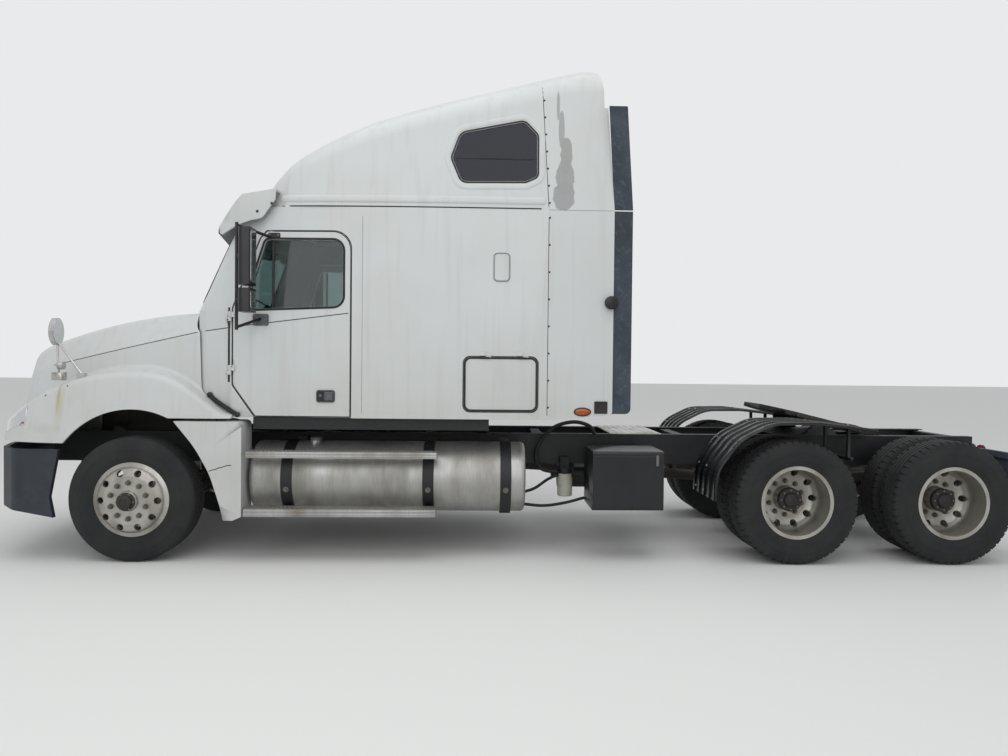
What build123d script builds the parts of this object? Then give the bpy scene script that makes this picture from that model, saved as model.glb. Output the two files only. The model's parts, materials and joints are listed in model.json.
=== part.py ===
"""Semi truck tractor unit: conventional 6x4 with a raised-roof sleeper, in millimetres.

X runs to the rear, -Y is the driver's side, Z is up from the ground under the tyres.
Side views are given as distance behind the front axle and height above the ground.
"""

import os
from math import cos, hypot, radians, sin

from build123d import *

os.makedirs("parts", exist_ok=True)

# Driving dimensions

front_axle_x = -3035.0
wheelbase = 5990.0
tandem_spacing = 1295.0
seat_gap = 0.3
shaft_clearance = 0.05
moving_gap = 6.0

steer_tyre_radius = 500.0
drive_tyre_radius = 506.0
tyre_half_width = 142.0
bead_radius = 286.0
rim_flange_radius = 298.0
rim_half_width = 117.0
steer_wheel_centre_y = 1030.0
dual_outer_y = 1087.0
dual_spacing = 335.0
disc_offset = 167.0
disc_thickness = 22.0
hub_bore_circle = 110.0
hand_hole_radius = 27.0
hand_hole_circle = 222.0
hand_holes = 10

rail_half_width = 432.0
rail_top = 985.0
rail_height = 267.0
rail_flange = 80.0
rail_web = 8.0
rail_front = -985.0
rail_rear = 7290.0

kingpin_y = 860.0
kingpin_radius = 22.0
steer_spindle_radius = 38.0
drive_spindle_radius = 45.0
steering_arm = 180.0

cab_wall = 50.0
cab_bottom = 1160.0
cab_floor = 60.0
belt_height = 2010.0
seam_height = 2850.0
cab_rear = 1800.0
sleeper_rear = 3300.0
body_half_width = 1150.0
roof_wall = 30.0
hood_wall = 22.0
hood_gap = 14.0
hood_pivot_s = -1155.0
hood_pivot_z = 985.0

tank_radius = 292.0
tank_centre_y = 790.0
tank_centre_z = 652.0
tank_front = 896.0
tank_rear = 3141.0

fifth_wheel_s = 5860.0
fifth_wheel_z = 1060.0
fifth_wheel_tilt = 13.5
fifth_wheel_top = 85.0
fifth_wheel_plate_thickness = 40.0

drive_axles = {
    "front": wheelbase - tandem_spacing / 2,
    "rear": wheelbase + tandem_spacing / 2,
}
sides = {"left": -1, "right": 1}


# Helpers that make a slab from an outline


def from_axle(points):
    """Turn distances behind the front axle into X."""
    return [(front_axle_x + s, z) for s, z in points]


def side_slab(points, radii, y_from, y_to):
    """A plate whose outline is seen from the side, thick from y_from to y_to."""
    with BuildPart() as slab:
        with BuildSketch(Plane.XZ.offset(-y_to)):
            with BuildLine():
                FilletPolyline(*from_axle(points), radius=radii, close=True)
            make_face()
        extrude(amount=y_to - y_from)
    return slab.part


def front_slab(points, radii, s_from, s_to):
    """A plate whose outline is seen from the front, thick from s_from to s_to."""
    with BuildPart() as slab:
        with BuildSketch(Plane.YZ.offset(front_axle_x + s_from)):
            with BuildLine():
                FilletPolyline(*points, radius=radii, close=True)
            make_face()
        extrude(amount=s_to - s_from)
    return slab.part


def plan_slab(points, radii, z_from, z_to):
    """A plate whose outline is seen from above, thick from z_from to z_to."""
    with BuildPart() as slab:
        with BuildSketch(Plane.XY.offset(z_from)):
            with BuildLine():
                FilletPolyline(*from_axle(points), radius=radii, close=True)
            make_face()
        extrude(amount=z_to - z_from)
    return slab.part


def block(s_from, s_to, y_from, y_to, z_from, z_to):
    """A plain box between three pairs of limits."""
    with BuildPart() as box:
        with BuildSketch(Plane.XY.offset(z_from)):
            with Locations((front_axle_x + (s_from + s_to) / 2, (y_from + y_to) / 2)):
                Rectangle(s_to - s_from, y_to - y_from)
        extrude(amount=z_to - z_from)
    return box.part


def turned(points, radii, s, z):
    """A ring or drum turned about a crosswise axle, from (across, radius) points."""
    centre = (front_axle_x + s, 0, z)
    with BuildPart() as ring:
        with BuildSketch(Plane(origin=centre, x_dir=(0, 1, 0), z_dir=(1, 0, 0))):
            with BuildLine():
                FilletPolyline(*points, radius=radii, close=True)
            make_face()
        revolve(axis=Axis(centre, (0, 1, 0)))
    return ring.part


def rod(start, end, radius):
    """A round bar between two points, each given as (behind the axle, across, height)."""
    a = Vector(front_axle_x + start[0], start[1], start[2])
    b = Vector(front_axle_x + end[0], end[1], end[2])
    with BuildPart() as bar:
        with BuildSketch(Plane(origin=a, z_dir=b - a)):
            Circle(radius)
        extrude(amount=(b - a).length)
    return bar.part


def other_side(part):
    """The same piece on the other side of the truck."""
    return mirror(part, about=Plane.XZ)


def on_side(part, side):
    """A piece made on the left, as it is there or mirrored to the right."""
    return part if side < 0 else other_side(part)


# Frame rails: two C channels, their flanges inward, cut away under the tail

rail_bottom = rail_top - rail_height
tail_taper_start = 6950.0
tail_bottom = 840.0
rail_outline = [
    (rail_front, rail_bottom),
    (tail_taper_start, rail_bottom),
    (rail_rear, tail_bottom),
    (rail_rear, rail_top),
    (rail_front, rail_top),
]
pocket_outline = [
    (rail_front - 10, rail_bottom + rail_web),
    (tail_taper_start, rail_bottom + rail_web),
    (rail_rear + 10, tail_bottom + rail_web + 4),
    (rail_rear + 10, rail_top - rail_web),
    (rail_front - 10, rail_top - rail_web),
]
rail_inner = rail_half_width - rail_flange
web_inner = rail_half_width - rail_web
rail_blank = side_slab(rail_outline, 0, rail_inner, rail_half_width)
rail_pocket = side_slab(pocket_outline, 0, rail_inner - 10, web_inner)

with BuildPart() as frame_rails:
    add(rail_blank)
    add(rail_pocket, mode=Mode.SUBTRACT)
    mirror(about=Plane.XZ)
frame_rails.part.label = "frame_rails"
export_step(frame_rails.part, "parts/frame_rails.step")

# Crossmembers: the front one carries the hood's pivot pin

cross_members = [
    # behind the axle, half width, lowest, highest
    (-940.0, 42.0, 735.0, 968.0),
    (1350.0, 45.0, 850.0, 968.0),
    (2300.0, 45.0, 850.0, 968.0),
    (3300.0, 45.0, 850.0, 968.0),
    (4620.0, 45.0, 800.0, 968.0),
    (wheelbase, 60.0, 740.0, 968.0),
    (7230.0, 40.0, 860.0, 968.0),
]
hood_pin_radius = 12.0
hood_knuckle = 24.0
hood_hinge_y = 395.0
hood_hinge_width = 40.0
pivot_ear = [
    (-900.0, 760.0),
    (-900.0, 960.0),
    (-1060.0, hood_pivot_z),
    (hood_pivot_s - hood_knuckle, hood_pivot_z + hood_knuckle),
    (hood_pivot_s - hood_knuckle, hood_pivot_z - hood_knuckle),
    (-1060.0, 930.0),
    (-985.0, 866.0),
]
ear_radii = [0, 0, 40, 23, 23, 20, 0]
ear_inner = hood_hinge_y - hood_hinge_width / 2 - 5 - 14
ear = side_slab(pivot_ear, ear_radii, ear_inner, ear_inner + 14)
pivot_pin = rod(
    (hood_pivot_s, ear_inner + 7, hood_pivot_z),
    (hood_pivot_s, hood_hinge_y + hood_hinge_width / 2 + 8, hood_pivot_z),
    hood_pin_radius,
)

with BuildPart() as crossmembers:
    for s, half, low, high in cross_members:
        add(block(s - half, s + half, -web_inner, web_inner, low, high))
    add(ear)
    add(pivot_pin)
    add(other_side(ear))
    add(other_side(pivot_pin))
crossmembers.part.label = "crossmembers"
export_step(crossmembers.part, "parts/crossmembers.step")

# Front axle: a forged beam with a dropped middle and an eye for each kingpin

eye_radius = 46.0
eye_half_height = 45.0
steer_hub_z = steer_tyre_radius
beam_half_depth = 45.0
beam_outline = [
    (-560.0, 330.0),
    (560.0, 330.0),
    (720.0, steer_hub_z - eye_half_height),
    (kingpin_y, steer_hub_z - eye_half_height),
    (kingpin_y, steer_hub_z + eye_half_height),
    (700.0, 545.0),
    (540.0, 430.0),
    (-540.0, 430.0),
    (-700.0, 545.0),
    (-kingpin_y, steer_hub_z + eye_half_height),
    (-kingpin_y, steer_hub_z - eye_half_height),
    (-720.0, steer_hub_z - eye_half_height),
]
beam_radii = [80, 80, 60, 0, 0, 60, 80, 80, 60, 0, 0, 60]

with BuildPart() as front_axle:
    add(front_slab(beam_outline, beam_radii, -beam_half_depth, beam_half_depth))
    for side in sides.values():
        with BuildSketch(Plane.XY.offset(steer_hub_z - eye_half_height)):
            with Locations((front_axle_x, side * kingpin_y)):
                Circle(eye_radius)
        extrude(amount=2 * eye_half_height)
    for side in sides.values():
        with BuildSketch(Plane.XY.offset(steer_hub_z - 2 * eye_half_height)):
            with Locations((front_axle_x, side * kingpin_y)):
                Circle(kingpin_radius + shaft_clearance)
        extrude(amount=4 * eye_half_height, mode=Mode.SUBTRACT)
front_axle.part.label = "front_axle"
export_step(front_axle.part, "parts/front_axle.step")

# Front springs: a pack of three leaves a side, clamped on the beam, shackled to the rail

spring_y = 395.0
spring_half_width = 38.0
leaf_thickness = 14.0
spring_seat = 430.0 + seat_gap
spring_eye_z = 600.0
leaves = [
    # half length, how far the leaf lies above the seat
    (380.0, 0.0),
    (520.0, 1.0),
    (640.0, 2.0),
]
leaf_parts = []
for half_length, level in leaves:
    low = spring_seat + 25 + level * leaf_thickness
    rise = (spring_eye_z - low) * (half_length / 640.0) ** 2
    with BuildPart() as leaf:
        with BuildSketch(Plane.XZ.offset(-(spring_y + spring_half_width))):
            with BuildLine():
                bottom = ThreePointArc(
                    (front_axle_x - half_length, low + rise),
                    (front_axle_x, low),
                    (front_axle_x + half_length, low + rise),
                )
                top = ThreePointArc(
                    (front_axle_x - half_length, low + rise + leaf_thickness),
                    (front_axle_x, low + leaf_thickness),
                    (front_axle_x + half_length, low + rise + leaf_thickness),
                )
                Line(bottom @ 0, top @ 0)
                Line(bottom @ 1, top @ 1)
            make_face()
        extrude(amount=2 * spring_half_width)
    leaf_parts.append(leaf.part)
clamp_top = spring_seat + 25 + 3 * leaf_thickness + 18
spring_clamp = block(
    -60, 60, spring_y - 50, spring_y + 50, spring_seat, clamp_top
)
spring_hangers = [
    side_slab(
        [(s - 40, rail_bottom), (s + 40, rail_bottom), (s + 22, 585), (s - 22, 585)],
        [0, 0, 15, 15],
        spring_y - spring_half_width,
        rail_half_width,
    )
    for s in (-620.0, 620.0)
]

with BuildPart() as front_springs:
    for piece in leaf_parts + spring_hangers:
        add(piece)
    add(spring_clamp)
    mirror(about=Plane.XZ)
front_springs.part.label = "front_springs"
export_step(front_springs.part, "parts/front_springs.step")

# Steering knuckles: fork, kingpin, spindle and the arm that the tie rod joins

fork_gap = 3.0
fork_thickness = 40.0
arm_low = steer_hub_z - eye_half_height - fork_gap - fork_thickness
ball_pin_radius = 10.0
tie_rod_eye_half = 20.0
tie_rod_z = arm_low - 6 - tie_rod_eye_half
for name, side in sides.items():
    kingpin_at = (front_axle_x, side * kingpin_y)
    with BuildPart() as knuckle:
        for low in (
            arm_low,
            steer_hub_z + eye_half_height + fork_gap,
        ):
            with BuildSketch(Plane.XY.offset(low)):
                with Locations(kingpin_at):
                    Circle(eye_radius)
                with Locations((front_axle_x, side * (kingpin_y + 38))):
                    Rectangle(2 * eye_radius, 76)
            extrude(amount=fork_thickness)
        with BuildSketch(Plane.XY.offset(arm_low)):
            with Locations((front_axle_x, side * (kingpin_y + 64))):
                Rectangle(2 * eye_radius, 24)
        extrude(amount=2 * (eye_half_height + fork_gap + fork_thickness))
        with BuildSketch(Plane.XY.offset(arm_low)):
            with Locations(kingpin_at):
                Circle(kingpin_radius)
        extrude(amount=2 * (eye_half_height + fork_gap + fork_thickness))
        with BuildSketch(Plane.XZ.offset(-side * (kingpin_y + 64))):
            with Locations((front_axle_x, steer_hub_z)):
                Circle(steer_spindle_radius)
        extrude(amount=-side * 215)
        with BuildSketch(Plane.XY.offset(arm_low)):
            with Locations((front_axle_x + steering_arm / 2, side * kingpin_y)):
                Rectangle(steering_arm, 44)
            with Locations((front_axle_x + steering_arm, side * kingpin_y)):
                Circle(26)
        extrude(amount=30)
        with BuildSketch(Plane.XY.offset(tie_rod_z - tie_rod_eye_half - 4)):
            with Locations((front_axle_x + steering_arm, side * kingpin_y)):
                Circle(ball_pin_radius)
        extrude(amount=arm_low - tie_rod_z + tie_rod_eye_half + 4)
    knuckle.part.label = f"knuckle_{name}"
    export_step(knuckle.part, f"parts/knuckle_{name}.step")

# Tie rod: a tube between the two knuckle arms, with an eye at each end

tie_rod_bar = rod(
    (steering_arm, -kingpin_y + 15, tie_rod_z), (steering_arm, kingpin_y - 15, tie_rod_z), 17.0
)
with BuildPart() as tie_rod:
    add(tie_rod_bar)
    with BuildSketch(Plane.XY.offset(tie_rod_z - tie_rod_eye_half)):
        with Locations(
            (front_axle_x + steering_arm, -kingpin_y), (front_axle_x + steering_arm, kingpin_y)
        ):
            Circle(25)
    extrude(amount=2 * tie_rod_eye_half)
    with BuildSketch(Plane.XY.offset(tie_rod_z - 2 * tie_rod_eye_half)):
        with Locations(
            (front_axle_x + steering_arm, -kingpin_y), (front_axle_x + steering_arm, kingpin_y)
        ):
            Circle(ball_pin_radius + shaft_clearance)
    extrude(amount=4 * tie_rod_eye_half, mode=Mode.SUBTRACT)
tie_rod.part.label = "tie_rod"
export_step(tie_rod.part, "parts/tie_rod.step")

# Tyres: rings with a flat tread and bulged walls, beads between the rim's flanges


def tyre(radius, s, centre_y):
    """One tyre on a rim of the common size."""
    half = tyre_half_width
    bead = rim_half_width - 12.5
    tread = half - 40
    one_side = [
        (bead, bead_radius + seat_gap),
        (bead, rim_flange_radius + 2),
        (half - 22, rim_flange_radius + 10),
        (half - 8, rim_flange_radius + 38),
        (half, rim_flange_radius + 88),
        (half - 3, radius - 72),
        (half - 13, radius - 34),
        (half - 26, radius - 8),
        (tread, radius),
    ]
    points = [(centre_y + y, r) for y, r in one_side]
    points += [(centre_y - y, r) for y, r in reversed(one_side)]
    return turned(points, 0, s, radius)


def rim(radius, s, centre_y, outward):
    """A disc wheel: barrel with two flanges, and a dished disc on its outward side."""
    inner = bead_radius - 17
    half = rim_half_width
    disc_out = disc_offset
    profile = [
        (-half, inner),
        (-half, rim_flange_radius),
        (-half + 12, rim_flange_radius),
        (-half + 12, bead_radius),
        (half - 12, bead_radius),
        (half - 12, rim_flange_radius),
        (half, rim_flange_radius),
        (half, inner),
        (disc_out - 22, inner - 17),
        (disc_out - 10, inner - 38),
        (disc_out - 3, inner - 62),
        (disc_out, inner - 84),
        (disc_out, hub_bore_circle),
        (disc_out - disc_thickness, hub_bore_circle),
        (disc_out - disc_thickness, inner - 92),
        (disc_out - 40, inner - 42),
        (half - 30, inner - 8),
        (half - 60, inner),
    ]
    points = [(centre_y + outward * y, r) for y, r in profile]
    blank = turned(points, 0, s, radius)
    hole_plane = Plane(
        origin=(front_axle_x + s, centre_y, radius), x_dir=(1, 0, 0), z_dir=(0, outward, 0)
    )
    with BuildPart() as wheel:
        add(blank)
        with BuildSketch(hole_plane.offset(60)):
            with PolarLocations(hand_hole_circle, hand_holes):
                Circle(hand_hole_radius)
        extrude(amount=150, mode=Mode.SUBTRACT)
    return wheel.part


# Steer wheels: rim, hub and brake drum turn together on the spindle

drum_radius = 214.0
drum_wall = 16.0
mount_face = steer_wheel_centre_y + disc_offset - disc_thickness
steer_hub_profile = [
    (-932.0, drum_radius),
    (-932.0, drum_radius - drum_wall),
    (-1090.0, drum_radius - drum_wall),
    (-1090.0, 78.0),
    (-1010.0, 78.0),
    (-1010.0, steer_spindle_radius + shaft_clearance),
    (-1150.0, steer_spindle_radius + shaft_clearance),
    (-1150.0, 0.0),
    (-1246.0, 0.0),
    (-1246.0, 62.0),
    (-1228.0, 78.0),
    (-mount_face - disc_thickness, 84.0),
    (-mount_face - disc_thickness, hub_bore_circle),
    (-mount_face, hub_bore_circle),
    (-mount_face, 165.0),
    (-mount_face + 24, 165.0),
    (-1112.0, drum_radius - 60),
    (-1108.0, drum_radius),
]
with BuildPart() as steer_set:
    add(rim(steer_tyre_radius, 0.0, -steer_wheel_centre_y, -1))
    add(turned(steer_hub_profile, 0, 0.0, steer_tyre_radius))
steer_tyre_blank = tyre(steer_tyre_radius, 0.0, -steer_wheel_centre_y)

for name, side in sides.items():
    with BuildPart() as steer_wheel:
        add(on_side(steer_set.part, side))
    steer_wheel.part.label = f"steer_wheel_{name}"
    export_step(steer_wheel.part, f"parts/steer_wheel_{name}.step")

    with BuildPart() as steer_tyre:
        add(on_side(steer_tyre_blank, side))
    steer_tyre.part.label = f"steer_tyre_{name}"
    export_step(steer_tyre.part, f"parts/steer_tyre_{name}.step")

# Drive wheels: two rims back to back on one hub and drum, turning on the axle's spindle

first_axle = drive_axles["front"]
second_axle = drive_axles["rear"]
dual_inner_y = dual_outer_y - dual_spacing
dual_joint_y = (dual_outer_y + dual_inner_y) / 2
dual_back = dual_joint_y - disc_thickness
drive_hub_profile = [
    (-640.0, drum_radius),
    (-640.0, drum_radius - drum_wall),
    (-836.0, drum_radius - drum_wall),
    (-836.0, 92.0),
    (-800.0, 92.0),
    (-800.0, drive_spindle_radius + shaft_clearance),
    (-1000.0, drive_spindle_radius + shaft_clearance),
    (-1000.0, 0.0),
    (-1052.0, 0.0),
    (-1052.0, 58.0),
    (-1036.0, 96.0),
    (-dual_joint_y - disc_thickness, 104.0),
    (-dual_joint_y - disc_thickness, hub_bore_circle),
    (-dual_back, hub_bore_circle),
    (-dual_back, 165.0),
    (-dual_back + 22, 165.0),
    (-858.0, drum_radius - 60),
    (-852.0, drum_radius),
]
with BuildPart() as dual_set:
    add(rim(drive_tyre_radius, first_axle, -dual_outer_y, 1))
    add(rim(drive_tyre_radius, first_axle, -dual_inner_y, -1))
    add(turned(drive_hub_profile, 0, first_axle, drive_tyre_radius))
with BuildPart() as dual_tyres:
    add(tyre(drive_tyre_radius, first_axle, -dual_outer_y))
    add(tyre(drive_tyre_radius, first_axle, -dual_inner_y))

for axle_name, axle_s in drive_axles.items():
    shift = Location((axle_s - first_axle, 0, 0))
    for name, side in sides.items():
        wheel_part = dual_set.part.moved(shift)
        tyre_part = dual_tyres.part.moved(shift)
        with BuildPart() as drive_wheel:
            add(on_side(wheel_part, side))
        drive_wheel.part.label = f"drive_wheel_{axle_name}_{name}"
        export_step(drive_wheel.part, f"parts/drive_wheel_{axle_name}_{name}.step")

        with BuildPart() as drive_tyres:
            add(on_side(tyre_part, side))
        drive_tyres.part.label = f"drive_tyres_{axle_name}_{name}"
        export_step(drive_tyres.part, f"parts/drive_tyres_{axle_name}_{name}.step")

# Drive axles: banjo housings with their pinion noses, joined by the shafts

tube_radius = 65.0
bowl_radius = 203.0
spindle_end = 990.0
housing_half = [
    (spindle_end, 0.0),
    (spindle_end, drive_spindle_radius),
    (778.0, drive_spindle_radius),
    (778.0, 85.0),
    (740.0, 85.0),
    (740.0, tube_radius),
    (330.0, tube_radius + 8),
    (180.0, bowl_radius - 30),
    (90.0, bowl_radius),
]
housing_points = housing_half + [(-y, r) for y, r in reversed(housing_half)]
housing_radii = [0, 0, 0, 0, 0, 0, 60, 60, 40]
housing_radii = housing_radii + housing_radii[::-1]
pinion_z = drive_tyre_radius + 40
pinion_nose = 330.0
transmission_rear = 1200.0
shaft_z = 770.0
shaft_radius = 50.0
front_shaft = rod(
    (transmission_rear + 10, 0, shaft_z), (first_axle - pinion_nose + 10, 0, pinion_z), shaft_radius
)
middle_shaft = rod((first_axle + 150, 0, pinion_z), (second_axle - 300, 0, pinion_z), 45.0)

with BuildPart() as drive_axle_housings:
    for axle_s in drive_axles.values():
        add(turned(housing_points, housing_radii, axle_s, drive_tyre_radius))
        add(rod((axle_s - pinion_nose, 0, pinion_z), (axle_s - 100, 0, pinion_z), 92.0))
    add(front_shaft)
    add(middle_shaft)
drive_axle_housings.part.label = "drive_axles"
export_step(drive_axle_housings.part, "parts/drive_axles.step")

# Rear suspension: hanger, trailing beam over the axle and an air spring behind it

beam_over_axle = drive_tyre_radius + tube_radius + 8 + seat_gap
bag_radius = 128.0
bag_s = 400.0
beam_end_top = 470.0
with BuildPart() as rear_suspension:
    for axle_s in drive_axles.values():
        hanger = [
            (axle_s - 610, rail_bottom),
            (axle_s - 490, rail_bottom),
            (axle_s - 515, 560),
            (axle_s - 585, 560),
        ]
        trailing_beam = [
            (axle_s - 580, 565),
            (axle_s - 580, 640),
            (axle_s - 120, 660),
            (axle_s + 110, 660),
            (axle_s + 250, beam_end_top),
            (axle_s + bag_s + 120, beam_end_top),
            (axle_s + bag_s + 120, beam_end_top - 30),
            (axle_s + 220, beam_end_top - 40),
            (axle_s + 80, beam_over_axle),
            (axle_s - 80, beam_over_axle),
        ]
        bag_profile = [
            (0, beam_end_top),
            (90, beam_end_top),
            (90, beam_end_top + 55),
            (bag_radius - 6, beam_end_top + 78),
            (bag_radius, beam_end_top + 100),
            (bag_radius, rail_bottom - 60),
            (bag_radius - 8, rail_bottom - 32),
            (100, rail_bottom - 12),
            (100, rail_bottom),
            (0, rail_bottom),
        ]
        for side in sides.values():
            low_y = min(side * rail_inner, side * rail_half_width)
            high_y = max(side * rail_inner, side * rail_half_width)
            add(side_slab(hanger, [0, 0, 20, 20], low_y, high_y))
            add(side_slab(trailing_beam, [20, 20, 30, 30, 30, 0, 0, 30, 30, 30], low_y, high_y))
            bag_x = front_axle_x + axle_s + bag_s
            bag_y = side * (rail_inner + rail_half_width) / 2
            with BuildSketch(Plane(origin=(bag_x, bag_y, 0), x_dir=(1, 0, 0), z_dir=(0, -1, 0))):
                with BuildLine():
                    FilletPolyline(*bag_profile, radius=0, close=True)
                make_face()
            revolve(axis=Axis((bag_x, bag_y, 0), (0, 0, 1)))
rear_suspension.part.label = "rear_suspension"
export_step(rear_suspension.part, "parts/rear_suspension.step")

# Engine and gearbox: one plain block each, standing on the rails

engine_outline = [
    (-640.0, 700.0),
    (250.0, 700.0),
    (250.0, 1480.0),
    (180.0, 1560.0),
    (-560.0, 1560.0),
    (-640.0, 1480.0),
]
engine_feet = [-420.0, 120.0]
with BuildPart() as engine:
    add(side_slab(engine_outline, [40, 40, 40, 40, 40, 40], -300, 300))
    for s in engine_feet:
        add(block(s - 50, s + 50, -rail_half_width, rail_half_width, rail_top + seat_gap, 1045))
    add(rod((240.0, 0, shaft_z), (620.0, 0, shaft_z), 215.0))
    add(rod((600.0, 0, shaft_z), (transmission_rear - seat_gap, 0, shaft_z), 150.0))
engine.part.label = "engine"
export_step(engine.part, "parts/engine.step")

# Radiator: core and tanks between the rails, standing on them by its shoulders

radiator_outline = [
    (-330.0, 760.0),
    (330.0, 760.0),
    (330.0, rail_top + seat_gap),
    (480.0, rail_top + seat_gap),
    (480.0, 1610.0),
    (-480.0, 1610.0),
    (-480.0, rail_top + seat_gap),
    (-330.0, rail_top + seat_gap),
]
with BuildPart() as radiator:
    add(front_slab(radiator_outline, [10, 10, 0, 10, 40, 40, 10, 0], -880, -780))
radiator.part.label = "radiator"
export_step(radiator.part, "parts/radiator.step")

# Bumper: a moulded shell that wraps round the corners, with an air opening and lamps

bumper_top = 903.0
bumper_wall = 40.0


def bumper_plan(inset, rear):
    """The bumper's outline from above, set in by a wall."""
    return [
        (-1250.0 + inset, 0.0),
        (-1205.0 + inset, -700.0),
        (-1095.0 + 0.8 * inset, -985.0 + 0.6 * inset),
        (-920.0, -1150.0 + inset),
        (rear, -1172.0 + inset),
        (rear, 1172.0 - inset),
        (-920.0, 1150.0 - inset),
        (-1095.0 + 0.8 * inset, 985.0 - 0.6 * inset),
        (-1205.0 + inset, 700.0),
    ]


bumper_radii = [4000, 500, 160, 160, 0, 0, 160, 160, 500]
bumper_side = [
    (-1300.0, bumper_top),
    (-1300.0, 760.0),
    (-1180.0, 500.0),
    (-1110.0, 430.0),
    (-870.0, 405.0),
    (-600.0, 358.0),
    (-632.0, 520.0),
    (-560.0, bumper_top - 8),
]
bumper_blank = plan_slab(bumper_plan(0, -500), bumper_radii, 340, bumper_top)
bumper_hollow = plan_slab(bumper_plan(bumper_wall, -480), bumper_radii, 330, bumper_top + 10)
bumper_trim = side_slab(bumper_side, [0, 150, 120, 60, 0, 0, 40, 0], -1300, 1300)
air_opening = [(-420, 520), (420, 520), (470, 600), (440, 690), (-440, 690), (-470, 600)]
lamp_opening = [(600, 560), (880, 560), (900, 660), (600, 680)]

bumper_horn = block(-1200, rail_front - seat_gap, rail_inner, rail_half_width, 740, 860)

with BuildPart() as bumper:
    add(bumper_blank)
    add(bumper_hollow, mode=Mode.SUBTRACT)
    add(bumper_trim, mode=Mode.INTERSECT)
    add(front_slab(air_opening, 30, -1300, -1100), mode=Mode.SUBTRACT)
    add(front_slab(lamp_opening, 25, -1300, -1060), mode=Mode.SUBTRACT)
    add(other_side(front_slab(lamp_opening, 25, -1300, -1060)), mode=Mode.SUBTRACT)
    add(bumper_horn)
    add(other_side(bumper_horn))
bumper.part.label = "bumper"
export_step(bumper.part, "parts/bumper.step")

# Cab body: a form given by its plan at three heights, hollow, open to the sleeper and roof


def cab_form(inset, low, rear, top=seam_height):
    """The cab's outer surface, set in by inset, from low up to the roof seam."""
    levels = [
        # height, front at the middle, front corner, its half width, side start, its half width
        (low, 330.0, 452.0, 985.0, 790.0, 1085.0),
        (belt_height, 330.0, 452.0, 985.0, 790.0, 1085.0),
        (top, 712.0, 800.0, 900.0, 1080.0, 1085.0),
    ]
    corner_radii = [150.0, 150.0, 170.0]
    with BuildPart() as form:
        for (low_level, high_level), (low_r, high_r) in zip(
            [(levels[0], levels[1]), (levels[1], levels[2])],
            [(corner_radii[0], corner_radii[1]), (corner_radii[1], corner_radii[2])],
        ):
            for level, corner in ((low_level, low_r), (high_level, high_r)):
                z, s_mid, s_corner, y_corner, s_side, y_side = level
                half = [
                    (s_corner + inset, y_corner - 0.8 * inset),
                    (s_side + 0.2 * inset, y_side - inset),
                    (rear, 1135.0 - inset),
                ]
                radii = [corner - inset, 420.0 - inset, 0.0]
                points = [(s_mid + inset, 0.0)]
                points += [(s, -y) for s, y in half]
                points += [(s, y) for s, y in reversed(half)]
                with BuildSketch(Plane.XY.offset(z)):
                    with BuildLine():
                        FilletPolyline(
                            *from_axle(points), radius=[2500.0] + radii + radii[::-1], close=True
                        )
                    make_face()
            loft(ruled=True)
    return form.part


cab_floor_top = cab_bottom + cab_floor
cab_solid = cab_form(0, cab_bottom, cab_rear)
cab_hollow = cab_form(cab_wall, cab_floor_top, cab_rear + 5)

# Door and window outlines in side view

door_outline = [
    (766.0, 1420.0),
    (766.0, 2040.0),
    (985.0, 2600.0),
    (1040.0, 2657.0),
    (1722.0, 2657.0),
    (1722.0, 1166.0),
    (952.0, 1166.0),
]
door_radii = [40, 120, 60, 0, 150, 0, 0]
door_opening = [
    (766.0 - moving_gap, 1417.0),
    (766.0 - moving_gap, 2041.0),
    (985.0 - moving_gap, 2604.0),
    (1037.0, 2657.0 + moving_gap),
    (1722.0 + moving_gap, 2657.0 + moving_gap),
    (1722.0 + moving_gap, cab_bottom - 10),
    (943.0, cab_bottom - 10),
    (943.0, cab_bottom),
]
opening_radii = [40, 120, 60, 0, 150, 0, 0, 0]
window_outline = [
    (914.0, 2030.0),
    (912.0, 2190.0),
    (1035.0, 2585.0),
    (1655.0, 2582.0),
    (1655.0, 2060.0),
]
window_radii = [30, 60, 40, 80, 80]
windshield_outline = [
    (-925.0, 2075.0),
    (925.0, 2075.0),
    (835.0, 2690.0),
    (-835.0, 2690.0),
]
windshield_radii = [90, 90, 80, 80]


def shrink(points, amount):
    """Move each point of an outline towards its middle by amount, along both axes."""
    mid_a = (min(a for a, b in points) + max(a for a, b in points)) / 2
    mid_b = (min(b for a, b in points) + max(b for a, b in points)) / 2
    return [
        (a - amount * (1 if a > mid_a else -1), b - amount * (1 if b > mid_b else -1))
        for a, b in points
    ]


door_cut = side_slab(door_opening, opening_radii, -1300, 1300)
windshield_cut = front_slab(windshield_outline, windshield_radii, 150, 960)
hinge_s = 752.0
hinge_y = 1092.0
hinge_radius = 13.0
hinge_pin_radius = 7.0
hinge_levels = [1500.0, 1930.0]
hinge_block = 34.0
with BuildPart() as cab_floor_plate:
    add(cab_form(cab_wall + moving_gap, cab_bottom, cab_rear))
    add(block(300, cab_rear, -1200, 1200, cab_bottom, cab_floor_top), mode=Mode.INTERSECT)

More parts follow.
